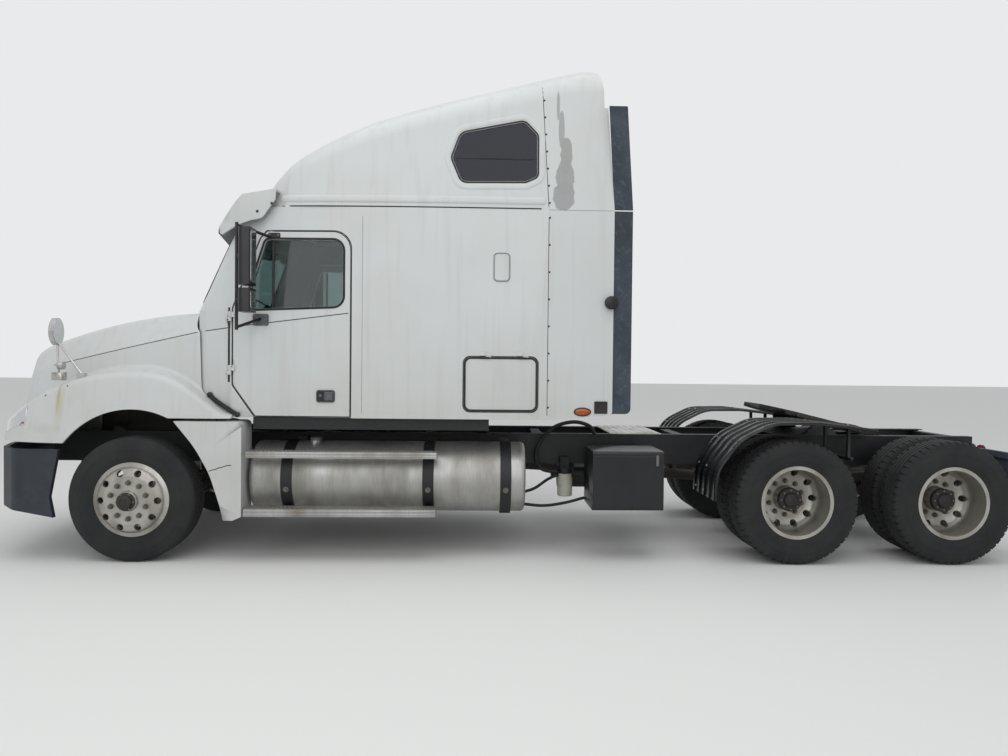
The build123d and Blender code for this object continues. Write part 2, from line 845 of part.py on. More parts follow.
with BuildPart() as cab_shell:
    add(cab_solid)
    add(cab_hollow, mode=Mode.SUBTRACT)
    add(door_cut, mode=Mode.SUBTRACT)
    add(cab_floor_plate.part)
    add(windshield_cut, mode=Mode.SUBTRACT)
    for side in sides.values():
        for z in hinge_levels:
            with BuildSketch(Plane.XY.offset(z)):
                with Locations((front_axle_x + hinge_s, side * hinge_y)):
                    Circle(hinge_radius)
                with Locations((front_axle_x + hinge_s - hinge_block / 2, side * (hinge_y - 16))):
                    Rectangle(hinge_block, hinge_block)
            extrude(amount=30)
            with BuildSketch(Plane.XY.offset(z)):
                with Locations((front_axle_x + hinge_s, side * hinge_y)):
                    Circle(hinge_pin_radius)
            extrude(amount=78)
cab_shell.part.label = "cab_shell"
export_step(cab_shell.part, "parts/cab_shell.step")

# Doors: the wall's whole thickness inside the door's outline, hinged at the front edge

door_block = side_slab(door_outline, door_radii, -1300, -700)
window_block = side_slab(window_outline, window_radii, -1300, -700)
glass_block = side_slab(shrink(window_outline, seat_gap), window_radii, -1300, -700)
with BuildPart() as left_door:
    add(cab_solid)
    add(cab_form(cab_wall, cab_bottom - 5, cab_rear + 5), mode=Mode.SUBTRACT)
    add(door_block, mode=Mode.INTERSECT)
    add(window_block, mode=Mode.SUBTRACT)
    for z in hinge_levels:
        with BuildSketch(Plane.XY.offset(z + 33)):
            with Locations((front_axle_x + hinge_s, -hinge_y)):
                Circle(hinge_radius)
            with Locations((front_axle_x + hinge_s + 19, -hinge_y + 2)):
                Rectangle(38, 12)
            with Locations((front_axle_x + hinge_s + 28, -hinge_y + 18)):
                Rectangle(20, 40)
        extrude(amount=42)
        with BuildSketch(Plane.XY.offset(z)):
            with Locations((front_axle_x + hinge_s, -hinge_y)):
                Circle(hinge_pin_radius + shaft_clearance)
        extrude(amount=100, mode=Mode.SUBTRACT)

with BuildPart() as left_door_glass:
    add(cab_form(22, cab_bottom, cab_rear))
    add(cab_form(27, cab_bottom - 5, cab_rear + 5), mode=Mode.SUBTRACT)
    add(glass_block, mode=Mode.INTERSECT)

for name, side in sides.items():
    with BuildPart() as door:
        add(on_side(left_door.part, side))
    door.part.label = f"door_{name}"
    export_step(door.part, f"parts/door_{name}.step")

    with BuildPart() as door_glass:
        add(on_side(left_door_glass.part, side))
    door_glass.part.label = f"door_glass_{name}"
    export_step(door_glass.part, f"parts/door_glass_{name}.step")

# Sleeper: a deep box behind the cab, open to it and to the roof

sleeper_front_y = 1135.0
sleeper_plan = [
    (cab_rear, -sleeper_front_y),
    (2250.0, -body_half_width),
    (sleeper_rear, -body_half_width),
    (sleeper_rear, body_half_width),
    (2250.0, body_half_width),
    (cab_rear, sleeper_front_y),
]
sleeper_inner = [
    (cab_rear - 5, -sleeper_front_y + cab_wall),
    (2250.0, -body_half_width + cab_wall),
    (sleeper_rear - cab_wall, -body_half_width + cab_wall),
    (sleeper_rear - cab_wall, body_half_width - cab_wall),
    (2250.0, body_half_width - cab_wall),
    (cab_rear - 5, sleeper_front_y - cab_wall),
]
luggage_outline = [(2625.0, 1221.0), (3225.0, 1221.0), (3225.0, 1665.0), (2625.0, 1665.0)]
luggage_radius = 60.0
luggage_top = 1665.0
luggage_hinge_z = luggage_top + 14.0
luggage_knuckle_radius = 7.0
luggage_hinge_y = body_half_width + luggage_knuckle_radius + 0.8
luggage_opening = [
    (2625.0 - moving_gap, 1221.0 - moving_gap),
    (3225.0 + moving_gap, 1221.0 - moving_gap),
    (3225.0 + moving_gap, 1665.0 + moving_gap),
    (2625.0 - moving_gap, 1665.0 + moving_gap),
]
luggage_hinges = [2760.0, 3060.0]
luggage_pin_radius = 4.0
sleeper_blank = plan_slab(sleeper_plan, [0, 3000, 0, 0, 3000, 0], cab_bottom, seam_height)
sleeper_hollow = plan_slab(
    sleeper_inner, [0, 3000, 0, 0, 3000, 0], cab_floor_top, seam_height + 5
)
with BuildPart() as sleeper_shell:
    add(sleeper_blank)
    add(sleeper_hollow, mode=Mode.SUBTRACT)
    add(side_slab(luggage_opening, luggage_radius, -1300, 1300), mode=Mode.SUBTRACT)
    for side in sides.values():
        for s in luggage_hinges:
            eye_at = (front_axle_x + s, side * luggage_hinge_y, luggage_hinge_z)
            with BuildSketch(Plane(origin=eye_at, x_dir=(0, 1, 0), z_dir=(1, 0, 0))):
                Circle(luggage_knuckle_radius)
                with Locations((-side * 6, 10)):
                    Rectangle(12, 24)
            extrude(amount=40)
            with BuildSketch(Plane(origin=eye_at, x_dir=(0, 1, 0), z_dir=(1, 0, 0))):
                Circle(luggage_pin_radius)
            extrude(amount=90)
sleeper_shell.part.label = "sleeper_shell"
export_step(sleeper_shell.part, "parts/sleeper_shell.step")

# Luggage doors: hinged along their top edge

with BuildPart() as left_luggage_door:
    add(side_slab(luggage_outline, luggage_radius, -body_half_width, -body_half_width + cab_wall))
    for hinge_from in luggage_hinges:
        eye_at = (front_axle_x + hinge_from + 43, -luggage_hinge_y, luggage_hinge_z)
        with BuildSketch(Plane(origin=eye_at, x_dir=(0, 1, 0), z_dir=(1, 0, 0))):
            Circle(luggage_knuckle_radius)
            with Locations((3.3, -14)):
                Rectangle(7, 28)
            with Locations((7.3, -21)):
                Rectangle(15, 13)
        extrude(amount=44)
        with BuildSketch(Plane(origin=eye_at, x_dir=(0, 1, 0), z_dir=(1, 0, 0))):
            Circle(luggage_pin_radius + shaft_clearance)
        extrude(amount=60, mode=Mode.SUBTRACT)

for name, side in sides.items():
    with BuildPart() as luggage_door:
        add(on_side(left_luggage_door.part, side))
    luggage_door.part.label = f"luggage_door_{name}"
    export_step(luggage_door.part, f"parts/luggage_door_{name}.step")

# Raised roof: sections along the truck, each with leaning sides and rounded shoulders

roof_stations = [
    # behind the axle, half width at the seam, half width and height of the shoulder, radius
    (760.0, 780.0, 770.0, 2868.0, 8.0),
    (1000.0, 990.0, 940.0, 2975.0, 60.0),
    (1100.0, 1047.0, 978.0, 3106.0, 105.0),
    (1200.0, 1090.0, 1010.0, 3215.0, 150.0),
    (1335.0, 1107.0, 1028.0, 3318.0, 185.0),
    (1471.0, 1118.0, 1040.0, 3398.0, 210.0),
    (1664.0, 1127.0, 1048.0, 3499.0, 228.0),
    (1864.0, 1135.0, 1055.0, 3585.0, 240.0),
    (2180.0, 1144.0, 1058.0, 3688.0, 246.0),
    (2500.0, body_half_width, 1060.0, 3778.0, 250.0),
    (sleeper_rear, body_half_width, 1060.0, 3983.0, 260.0),
    (3561.0, body_half_width, 1060.0, 4045.0, 260.0),
    (3860.0, body_half_width, 1060.0, 4060.0, 260.0),
]
roof_crown = 65.0
roof_front = 760.0
roof_room_front = 1000.0


def roof_form(inset, s_from, s_to):
    """The raised roof's outer surface between two stations, set in by inset."""
    with BuildPart() as form:
        for s, base, shoulder, height, radius in roof_stations:
            if s_from <= s <= s_to:
                drop = min(inset, height - seam_height - 5)
                points = [
                    (-base + inset, seam_height - max(inset, 0)),
                    (-shoulder + inset, height - drop),
                    (0.0, height + roof_crown * shoulder / 1060.0 - drop),
                    (shoulder - inset, height - drop),
                    (base - inset, seam_height - max(inset, 0)),
                ]
                corner = max(radius - inset, 4.0)
                with BuildSketch(Plane.YZ.offset(front_axle_x + s)):
                    with BuildLine():
                        FilletPolyline(*points, radius=[0, corner, 3000, corner, 0], close=True)
                    make_face()
        loft(ruled=True)
    return form.part


roof_window_outline = [
    (2520.0, 3263.0),
    (2592.0, 3463.0),
    (3099.0, 3566.0),
    (3203.0, 3455.0),
    (3203.0, 3120.0),
    (3110.0, 3078.0),
    (2600.0, 3070.0),
]
roof_window_radii = [60, 80, 60, 60, 40, 40, 60]
roof_solid = roof_form(0, roof_front, sleeper_rear)
roof_hollow = roof_form(roof_wall, roof_room_front, sleeper_rear)
roof_column_half_width = body_half_width + 10
roof_plan = [
    (712.0, 0.0),
    (800.0, -900.0),
    (1080.0, -1093.0),
    (cab_rear, -1145.0),
    (2250.0, -roof_column_half_width),
    (sleeper_rear - seat_gap, -roof_column_half_width),
    (sleeper_rear - seat_gap, roof_column_half_width),
    (2250.0, roof_column_half_width),
    (cab_rear, 1145.0),
    (1080.0, 1093.0),
    (800.0, 900.0),
]
roof_plan_radii = [2500, 170, 420, 0, 3000, 0, 0, 3000, 0, 420, 170]
roof_column = plan_slab(roof_plan, roof_plan_radii, seam_height, 4300)
roof_window_cut = side_slab(roof_window_outline, roof_window_radii, -1300, 1300)
with BuildPart() as roof_fairing:
    add(roof_solid)
    add(roof_column, mode=Mode.INTERSECT)
    add(roof_hollow, mode=Mode.SUBTRACT)
    add(roof_window_cut, mode=Mode.SUBTRACT)
roof_fairing.part.label = "roof_fairing"
export_step(roof_fairing.part, "parts/roof_fairing.step")

# Fixed glass: windshield and the roof's side windows, each in the wall's thickness

roof_glass_cut = side_slab(
    shrink(roof_window_outline, seat_gap), roof_window_radii, -1300, 1300
)
windshield_glass_cut = front_slab(
    shrink(windshield_outline, seat_gap), windshield_radii, 150, 960
)
with BuildPart() as windshield:
    add(cab_form(6, cab_bottom, cab_rear))
    add(cab_form(12, cab_bottom - 5, cab_rear + 5), mode=Mode.SUBTRACT)
    add(windshield_glass_cut, mode=Mode.INTERSECT)

with BuildPart() as roof_windows:
    add(roof_form(8, 1864.0, sleeper_rear))
    add(roof_form(14, 1864.0, sleeper_rear), mode=Mode.SUBTRACT)
    add(roof_glass_cut, mode=Mode.INTERSECT)

with BuildPart() as fixed_windows:
    add(windshield.part)
    add(roof_windows.part)
fixed_windows.part.label = "fixed_windows"
export_step(fixed_windows.part, "parts/fixed_windows.step")

# Extenders: the roof's rear shell and the two side panels, all open to the rear

extender_rear = 3830.0
extender_wall = 28.0
fin_top = 3690.0
roof_tail_outline = [
    (sleeper_rear, seam_height),
    (sleeper_rear, 4300.0),
    (3545.0, 4300.0),
    (3572.0, 4098.0),
    (3712.0, 3995.0),
    (3742.0, 3860.0),
    (3748.0, fin_top + 2),
    (3779.0, fin_top + 2),
    (extender_rear, seam_height),
]
side_panel_outline = [
    (sleeper_rear, cab_bottom),
    (sleeper_rear, seam_height - 3),
    (extender_rear, seam_height - 3),
    (extender_rear, 1204.0),
    (3420.0, 1166.0),
]
roof_tail_solid = roof_form(0, sleeper_rear, 3860.0)
roof_tail_hollow = roof_form(extender_wall, sleeper_rear, 3860.0)
roof_tail_trim = side_slab(roof_tail_outline, [0, 0, 0, 60, 50, 40, 0, 0, 0], -1300, 1300)
side_panel = side_slab(
    side_panel_outline,
    [0, 0, 0, 30, 0],
    body_half_width - extender_wall,
    body_half_width,
)
with BuildPart() as extenders:
    add(roof_tail_solid)
    add(roof_tail_hollow, mode=Mode.SUBTRACT)
    add(roof_tail_trim, mode=Mode.INTERSECT)
    add(side_panel)
    add(other_side(side_panel))
extenders.part.label = "extenders"
export_step(extenders.part, "parts/extenders.step")

# Extender edges: rubber fins behind the panels

fin_width = 150.0
fin_thickness = 18.0
fin_outer = body_half_width - 4.0
upper_fin = [
    (extender_rear + seat_gap, seam_height + 8),
    (3779.5, fin_top),
    (3927.0, fin_top),
    (extender_rear + fin_width, seam_height + 8),
]
lower_fin = [
    (extender_rear, seam_height - 3),
    (extender_rear + fin_width, seam_height - 3),
    (extender_rear + fin_width, 1212.0),
    (extender_rear, 1212.0),
]
with BuildPart() as extender_edges:
    add(side_slab(upper_fin, [0, 0, 10, 0], fin_outer - fin_thickness, fin_outer))
    add(side_slab(lower_fin, [0, 0, 45, 0], fin_outer - fin_thickness, fin_outer))
    mirror(about=Plane.XZ)
extender_edges.part.label = "extender_edges"
export_step(extender_edges.part, "parts/extender_edges.step")

# Sun visor: a sloping sheet over the windshield with a closed end each side

visor_sheet = [
    (440.0, 2592.0),
    (600.0, 2704.0),
    (703.0, 2805.0),
    (849.0, 2943.0),
    (1130.0, 2985.0),
    (1130.0, 2969.0),
    (856.0, 2926.0),
    (714.0, 2792.0),
    (611.0, 2690.0),
    (450.0, 2578.0),
]
visor_end = [
    (590.0, 2680.0),
    (703.0, 2804.0),
    (849.0, 2942.0),
    (1125.0, 2984.0),
    (1119.0, 2898.0),
    (1014.0, 2752.0),
    (916.0, 2734.0),
    (640.0, 2642.0),
]


def visor_plan(inset):
    """The visor's outline from above, set in by its sheet."""
    return [
        (475.0 + inset, 0.0),
        (585.0 + inset, -905.0 + inset),
        (800.0 + inset, -1100.0 + inset),
        (1131.0, -1140.0 + inset),
        (1131.0, 1140.0 - inset),
        (800.0 + inset, 1100.0 - inset),
        (585.0 + inset, 905.0 - inset),
    ]


visor_radii = [2500, 150, 200, 0, 0, 200, 150]
visor_column = plan_slab(visor_plan(0), visor_radii, 2560, 3010)
visor_inside = plan_slab(visor_plan(16), visor_radii, 2550, 3020)
end_keep = side_slab(visor_end, [0, 60, 60, 20, 20, 60, 60, 20], -1300, 1300)
middle_clear = block(300, 1300, -930, 930, 2500, 3100)
with BuildPart() as visor_ends:
    add(visor_column)
    add(visor_inside, mode=Mode.SUBTRACT)
    add(end_keep, mode=Mode.INTERSECT)
    add(middle_clear, mode=Mode.SUBTRACT)
with BuildPart() as sun_visor:
    add(side_slab(visor_sheet, 0, -1200, 1200))
    add(visor_column, mode=Mode.INTERSECT)
    add(visor_ends.part)
    add(roof_form(-seat_gap, roof_front, 1335.0), mode=Mode.SUBTRACT)
    add(cab_form(-seat_gap, cab_bottom, cab_rear), mode=Mode.SUBTRACT)
sun_visor.part.label = "sun_visor"
export_step(sun_visor.part, "parts/sun_visor.step")

# Cab underframe: sills and crossbeams under the body, standing on the rails

underframe_low = 1062.0
underframe_top = cab_bottom - seat_gap
cab_supports = [980.0, 1900.0, 2790.0]
with BuildPart() as underframe:
    for s in cab_supports:
        add(block(s - 45, s + 45, -1050, 1050, underframe_low, underframe_top))
        for side in sides.values():
            low_y = min(side * rail_inner, side * rail_half_width)
            add(block(s - 45, s + 45, low_y, low_y + rail_flange, rail_top, underframe_low + 5))
    for side in sides.values():
        low_y = min(side * 1020, side * 1060)
        add(block(930, 2835, low_y, low_y + 40, underframe_low, underframe_top))
underframe.part.label = "cab_underframe"
export_step(underframe.part, "parts/cab_underframe.step")

# Seats and bunk

seat_side = [
    (1240.0, cab_floor_top + 280),
    (1240.0, cab_floor_top + 400),
    (1630.0, cab_floor_top + 390),
    (1700.0, cab_floor_top + 1000),
    (1790.0, cab_floor_top + 1000),
    (1760.0, cab_floor_top + 280),
]
seat_radii = [40, 50, 40, 40, 40, 60]
with BuildPart() as seats:
    for side in sides.values():
        low_y = side * 560 - 250
        add(side_slab(seat_side, seat_radii, low_y, low_y + 500))
        add(block(1330, 1680, low_y + 90, low_y + 410, cab_floor_top + seat_gap, cab_floor_top + 290))
    add(block(2520, sleeper_rear - cab_wall - seat_gap, -1095, 1095, cab_floor_top + seat_gap, 1620))
    add(
        plan_slab(
            [(2510, -1090), (3240, -1090), (3240, 1090), (2510, 1090)], 40, 1620, 1760
        )
    )
seats.part.label = "seats_and_bunk"
export_step(seats.part, "parts/seats_and_bunk.step")

# Dashboard and steering wheel

dash_outline = [
    (520.0, 1500.0),
    (640.0, 1500.0),
    (860.0, 1700.0),
    (880.0, 1880.0),
    (760.0, 1990.0),
    (520.0, 1990.0),
]
wheel_centre = (front_axle_x + 1010.0, -560.0, 1905.0)
wheel_plane = Plane(origin=wheel_centre, x_dir=(0, 1, 0), z_dir=(0.82, 0, 0.57))
with BuildPart() as dashboard:
    add(side_slab(dash_outline, [30, 60, 60, 60, 60, 20], -880, 880))
    add(rod((800.0, -560, 1760.0), (1010.0, -560, 1905.0), 28.0))
    with BuildSketch(wheel_plane):
        Circle(225)
        Circle(195, mode=Mode.SUBTRACT)
        Rectangle(400, 34)
        Circle(70)
    extrude(amount=24)
    add(block(540, 640, -700, 700, cab_floor_top + seat_gap, 1520))
dashboard.part.label = "dashboard"
export_step(dashboard.part, "parts/dashboard.step")

# Hood: front end in one shell with its fenders, lofted through six stations

nose_tilt = 12.0
nose_s = -1225.0
nose_z = 950.0
hood_stations = [
    # behind axle, crown, hood edge y and z, crease y and z, valley y and z, fender y and z, out
    (-1050.0, 1745.0, 500.0, 1690.0, 600.0, 1490.0, 690.0, 1225.0, 975.0, 1120.0, 1045.0),
    (-800.0, 1840.0, 570.0, 1785.0, 700.0, 1565.0, 770.0, 1370.0, 1050.0, 1300.0, 1160.0),
    (-420.0, 1940.0, 680.0, 1885.0, 820.0, 1650.0, 860.0, 1500.0, 1085.0, 1458.0, 1190.0),
    (0.0, 2010.0, 770.0, 1965.0, 915.0, 1742.0, 940.0, 1560.0, 1110.0, 1502.0, 1190.0),
    (430.0, 2045.0, 840.0, 2005.0, 985.0, 1835.0, 998.0, 1420.0, 1120.0, 1372.0, 1190.0),
    (780.0, 2065.0, 900.0, 2025.0, 1040.0, 1900.0, 1050.0, 1200.0, 1130.0, 1165.0, 1190.0),
]
hood_bottom = 880.0


def hood_form(inset):
    """The front end's outer surface, set in by inset and left open below and behind."""
    tilt = radians(nose_tilt)
    nose_plane = Plane(
        origin=(front_axle_x + nose_s + inset, 0, nose_z),
        x_dir=(0, 1, 0),
        z_dir=(cos(tilt), 0, -sin(tilt)),
    )
    nose = (0, 715.0, 440.0, 665.0, 500.0, 520.0, 560.0, 240.0, 640.0, 190.0, 660.0)
    low = hood_bottom - (20 if inset > 0 else 0)
    sections = [(nose_plane, nose, low - nose_z)]
    for station in hood_stations:
        reach = station[0] + (10 if inset > 0 and station[0] > 700 else 0)
        sections.append((Plane.YZ.offset(front_axle_x + reach), station, low))
    with BuildPart() as form:
        for plane, row, bottom in sections:
            _, crown, edge_y, edge_z, crease_y, crease_z = row[:6]
            valley_y, valley_z, fender_y, fender_z, out_y = row[6:]
            half = [
                (edge_y - inset, edge_z - inset),
                (crease_y - inset, crease_z - 0.5 * inset),
                (valley_y - inset, valley_z - 0.7 * inset),
                (fender_y - inset, fender_z - inset),
                (out_y - inset, bottom),
            ]
            radii = [110.0, 60.0, 45.0, 70.0, 0.0]
            points = [(0.0, crown - inset)] + half + [(-y, z) for y, z in reversed(half)]
            with BuildSketch(plane):
                with BuildLine():
                    FilletPolyline(
                        *points, radius=[1500.0] + radii + radii[::-1], close=True
                    )
                make_face()
        loft()
    return form.part


hood_solid = hood_form(0)
hood_hollow = hood_form(hood_wall)
arch_centre = (-5.0, 578.0)
arch_radius = 640.0
hood_keep = [
    (-1300.0, 958.0),
    (-300.0, 945.0),
    (-300.0, 1150.0),
    (775.0, 1150.0),
    (775.0, 2200.0),
    (-1300.0, 2200.0),
]
headlamp_outline = [
    (700.0, 1068.0),
    (1010.0, 1022.0),
    (1110.0, 1100.0),
    (1120.0, 1235.0),
    (1000.0, 1255.0),
    (720.0, 1150.0),
]
headlamp_radii = [30, 40, 40, 40, 50, 30]
headlamp_rear = -860.0
lamp_gap = 1.0
headlamp_cut = front_slab(
    shrink(headlamp_outline, -lamp_gap), headlamp_radii, -1300, headlamp_rear + lamp_gap
)
grille_opening = [(-400.0, 95.0), (400.0, 95.0), (425.0, 610.0), (-425.0, 610.0)]
nose_normal = (-cos(radians(nose_tilt)), 0, sin(radians(nose_tilt)))
nose_face = Plane(
    origin=(front_axle_x + nose_s, 0, nose_z), x_dir=(0, -1, 0), z_dir=nose_normal
)
hinge_arm = [
    (hood_pivot_s + hood_knuckle, hood_pivot_z - hood_knuckle),
    (nose_s + 13, hood_pivot_z - hood_knuckle),
    (nose_s + 42, 1100.0),
    (hood_pivot_s + 5, 1100.0),
    (hood_pivot_s + hood_knuckle, hood_pivot_z + hood_knuckle),
]
hinge_arm_radii = [20, 0, 0, 10, 20]
arm_block = side_slab(
    hinge_arm,
    hinge_arm_radii,
    hood_hinge_y - hood_hinge_width / 2,
    hood_hinge_y + hood_hinge_width / 2,
)
with BuildPart() as hood:
    add(hood_solid)
    add(hood_hollow, mode=Mode.SUBTRACT)
    add(side_slab(hood_keep, 0, -1300, 1300), mode=Mode.INTERSECT)
    with BuildSketch(Plane.XZ.offset(-1300)):
        with Locations((front_axle_x + arch_centre[0], arch_centre[1])):
            Circle(arch_radius)
    extrude(amount=2600, mode=Mode.SUBTRACT)
    add(cab_form(-hood_gap, 900, cab_rear), mode=Mode.SUBTRACT)
    add(headlamp_cut, mode=Mode.SUBTRACT)
    add(other_side(headlamp_cut), mode=Mode.SUBTRACT)
    with BuildSketch(nose_face.offset(-80)):
        with BuildLine():
            FilletPolyline(*grille_opening, radius=40, close=True)
        make_face()
    extrude(amount=160, mode=Mode.SUBTRACT)
    add(arm_block)
    add(other_side(arm_block))
    with BuildSketch(Plane.XZ.offset(-1300)):
        with Locations((front_axle_x + hood_pivot_s, hood_pivot_z)):
            Circle(hood_pin_radius + shaft_clearance)
    extrude(amount=2600, mode=Mode.SUBTRACT)
hood.part.label = "hood"
export_step(hood.part, "parts/hood.step")

# Grille: a surround standing proud of the nose, with upright bars behind it

surround_outline = [(-450.0, 60.0), (450.0, 60.0), (470.0, 650.0), (-470.0, 650.0)]
surround_depth = 30.0
bar_width = 14.0
bar_pitch = 66.0
bar_count = 12
with BuildPart() as grille:
    with BuildSketch(nose_face.offset(seat_gap)):
        with BuildLine():
            FilletPolyline(*surround_outline, radius=60, close=True)
        make_face()
        with BuildLine():
            FilletPolyline(*shrink(grille_opening, 4), radius=36, close=True)
        make_face(mode=Mode.SUBTRACT)
    extrude(amount=surround_depth)
    with BuildSketch(nose_face.offset(seat_gap)):
        with Locations((0, 352)):
            with GridLocations(bar_pitch, 1, bar_count, 1):
                Rectangle(bar_width, 530)
            with GridLocations(1, 86, 1, 6):
                Rectangle(830, 10)
    extrude(amount=12)
grille.part.label = "grille"
export_step(grille.part, "parts/grille.step")

# Headlamps: lens bodies let into the fenders' front corners

headlamp_block = front_slab(headlamp_outline, headlamp_radii, -1300, headlamp_rear)
with BuildPart() as headlamps:
    add(hood_solid)
    add(hood_form(70), mode=Mode.SUBTRACT)
    add(headlamp_block, mode=Mode.INTERSECT)
    mirror(about=Plane.XZ)
headlamps.part.label = "headlamps"
export_step(headlamps.part, "parts/headlamps.step")

# Hood mirrors: an oval head on a three-legged stand on each fender

mirror_foot = (-640.0, 985.0)
with BuildPart() as hood_mirrors:
    for side in sides.values():
        y = side * mirror_foot[1]
        head_at = (front_axle_x - 690.0, y, 1833.0)
        with BuildSketch(Plane(origin=head_at, x_dir=(0, 1, 0), z_dir=(1, 0, 0))):
            Ellipse(85, 110)
        extrude(amount=36)
        add(rod((-665.0, y, 1833.0), (-655.0, y, 1500.0), 9.0))
        add(rod((-665.0, y, 1760.0), (-470.0, y, 1492.0), 9.0))
        add(rod((-655.0, y, 1560.0), (-610.0, y, 1560.0), 32.0))
        add(block(-690, -610, y - 40, y + 40, 1440, 1503))
        add(block(-500, -440, y - 25, y + 25, 1440, 1500))
    add(hood_solid.moved(Location((0, 0, seat_gap))), mode=Mode.SUBTRACT)
hood_mirrors.part.label = "hood_mirrors"
export_step(hood_mirrors.part, "parts/hood_mirrors.step")

# Fairings behind the front wheels: fixed panels with a return to the rear and above

fairing_outline = [
    (340.0, 1128.0),
    (505.0, 925.0),
    (622.0, 713.0),
    (700.0, 472.0),
    (731.0, 342.0),
    (805.0, 342.0),
    (872.0, 372.0),
    (872.0, 1128.0),
]
fairing_radii = [0, 900, 600, 400, 0, 0, 10, 40]
fairing_inner = [
    (400.0, 1110.0),
    (528.0, 932.0),
    (642.0, 716.0),
    (720.0, 476.0),
    (748.0, 300.0),
    (805.0, 300.0),
    (854.0, 330.0),
    (854.0, 1110.0),
]
fairing_out_y = 1182.0
fairing_in_y = 900.0
fairing_wall = 18.0
with BuildPart() as wheel_fairings:
    add(side_slab(fairing_outline, fairing_radii, fairing_in_y, fairing_out_y))
    add(
        side_slab(fairing_inner, [0, 900, 600, 400, 0, 0, 0, 30], 880, fairing_out_y - fairing_wall),
        mode=Mode.SUBTRACT,
    )
    add(rod((800.0, rail_half_width, 860.0), (800.0, fairing_out_y - 5, 860.0), 18.0))
    mirror(about=Plane.XZ)
wheel_fairings.part.label = "wheel_fairings"
export_step(wheel_fairings.part, "parts/wheel_fairings.step")

# Fuel tanks: round tanks along each rail

with BuildPart() as fuel_tanks:
    for side in sides.values():
        with BuildSketch(Plane.YZ.offset(front_axle_x + tank_front)):
            with Locations((side * tank_centre_y, tank_centre_z)):
                Circle(tank_radius)
        extrude(amount=tank_rear - tank_front)
    fillet(fuel_tanks.edges().filter_by(GeomType.CIRCLE), 35)
    for side in sides.values():
        cap_at = (front_axle_x + 1400.0, side * (tank_centre_y + 90), tank_centre_z)
        with BuildSketch(Plane(origin=cap_at, z_dir=(0, 0, 1)).offset(250)):
            Circle(48)
        extrude(amount=62)
fuel_tanks.part.label = "fuel_tanks"
export_step(fuel_tanks.part, "parts/fuel_tanks.step")

# Tank straps: bands round the tanks on L brackets bolted to the rails

strap_thickness = 8.0
strap_stations = [(1200.0, 90.0), (2344.0, 90.0), (2978.0, 90.0)]
strap_inner = tank_radius + seat_gap
strap_outer = strap_inner + strap_thickness
bracket_outline = [
    (rail_half_width, 960.0),
    (rail_half_width, 352.0),
    (880.0, 352.0),
    (880.0, 384.0),
    (560.0, 420.0),
    (500.0, 500.0),
    (490.0, 960.0),
]
with BuildPart() as tank_straps:
    for s, width in strap_stations:
        add(front_slab(bracket_outline, 0, s - width / 2, s + width / 2))
        with BuildSketch(Plane.YZ.offset(front_axle_x + s - width / 2)):
            with Locations((tank_centre_y, tank_centre_z)):
                Circle(strap_outer)
        extrude(amount=width)
        with BuildSketch(Plane.YZ.offset(front_axle_x + s - width / 2 - 1)):
            with Locations((tank_centre_y, tank_centre_z)):
                Circle(strap_inner)
        extrude(amount=width + 2, mode=Mode.SUBTRACT)
    mirror(about=Plane.XZ)
tank_straps.part.label = "tank_straps"
export_step(tank_straps.part, "parts/tank_straps.step")

# Steps: two ribbed treads a side, carried by brackets on the first two straps

step_out_y = 1200.0
tread_levels = [
    # lowest, thickness, inner edge, front, rear
    (845.0, 50.0, 1072.0, 911.0, 2418.0),
    (378.0, 60.0, 1032.0, 895.0, 2412.0),
]
bracket_reach = 930.0
with BuildPart() as tank_steps:
    for low, thick, inner_y, s_front, s_rear in tread_levels:
        add(block(s_front, s_rear, inner_y, step_out_y, low, low + thick))
        for s, width in strap_stations[:2]:
            add(block(s - 30, s + 30, bracket_reach, inner_y + 5, low + 8, low + thick - 8))
    with BuildSketch(Plane.YZ.offset(front_axle_x + tank_front - 50)):
        with Locations((tank_centre_y, tank_centre_z)):
            Circle(strap_outer + seat_gap)
    extrude(amount=tank_rear - tank_front, mode=Mode.SUBTRACT)
    mirror(about=Plane.XZ)
tank_steps.part.label = "tank_steps"
export_step(tank_steps.part, "parts/tank_steps.step")

# Battery box on the driver's side, on two brackets

battery_outline = [(-1150, 426), (-655, 426), (-655, 908), (-1150, 908)]
with BuildPart() as battery_box:
    add(front_slab(battery_outline, 25, 3680, 4260))
    for s in (3760.0, 4180.0):
        add(block(s - 20, s + 20, -660, -rail_half_width, 740, 880))
battery_box.part.label = "battery_box"
export_step(battery_box.part, "parts/battery_box.step")

# Exhaust: a muffler along the right rail with its inlet and tail pipes

muffler_y = 700.0
muffler_z = 610.0
with BuildPart() as exhaust:
    add(rod((3500.0, muffler_y, muffler_z), (4500.0, muffler_y, muffler_z), 135.0))
    add(rod((3240.0, muffler_y, muffler_z), (3510.0, muffler_y, muffler_z), 55.0))
    add(rod((4490.0, muffler_y, muffler_z), (4600.0, muffler_y, muffler_z), 55.0))
    for s in (3650.0, 4350.0):
        add(block(s - 25, s + 25, rail_half_width, muffler_y, 700, 760))
exhaust.part.label = "exhaust"
export_step(exhaust.part, "parts/exhaust.step")

# Fuel filter and air tanks hung from the rails

with BuildPart() as air_tanks:
    for side in sides.values():
        add(rod((3480.0, side * 300, 590.0), (4300.0, side * 300, 590.0), 105.0))
        for s in (3600.0, 4180.0):
            low_y = min(side * rail_inner, side * (rail_inner + 40))
            add(block(s - 20, s + 20, low_y, low_y + 40, 590, rail_bottom))
air_tanks.part.label = "air_tanks"
export_step(air_tanks.part, "parts/air_tanks.step")

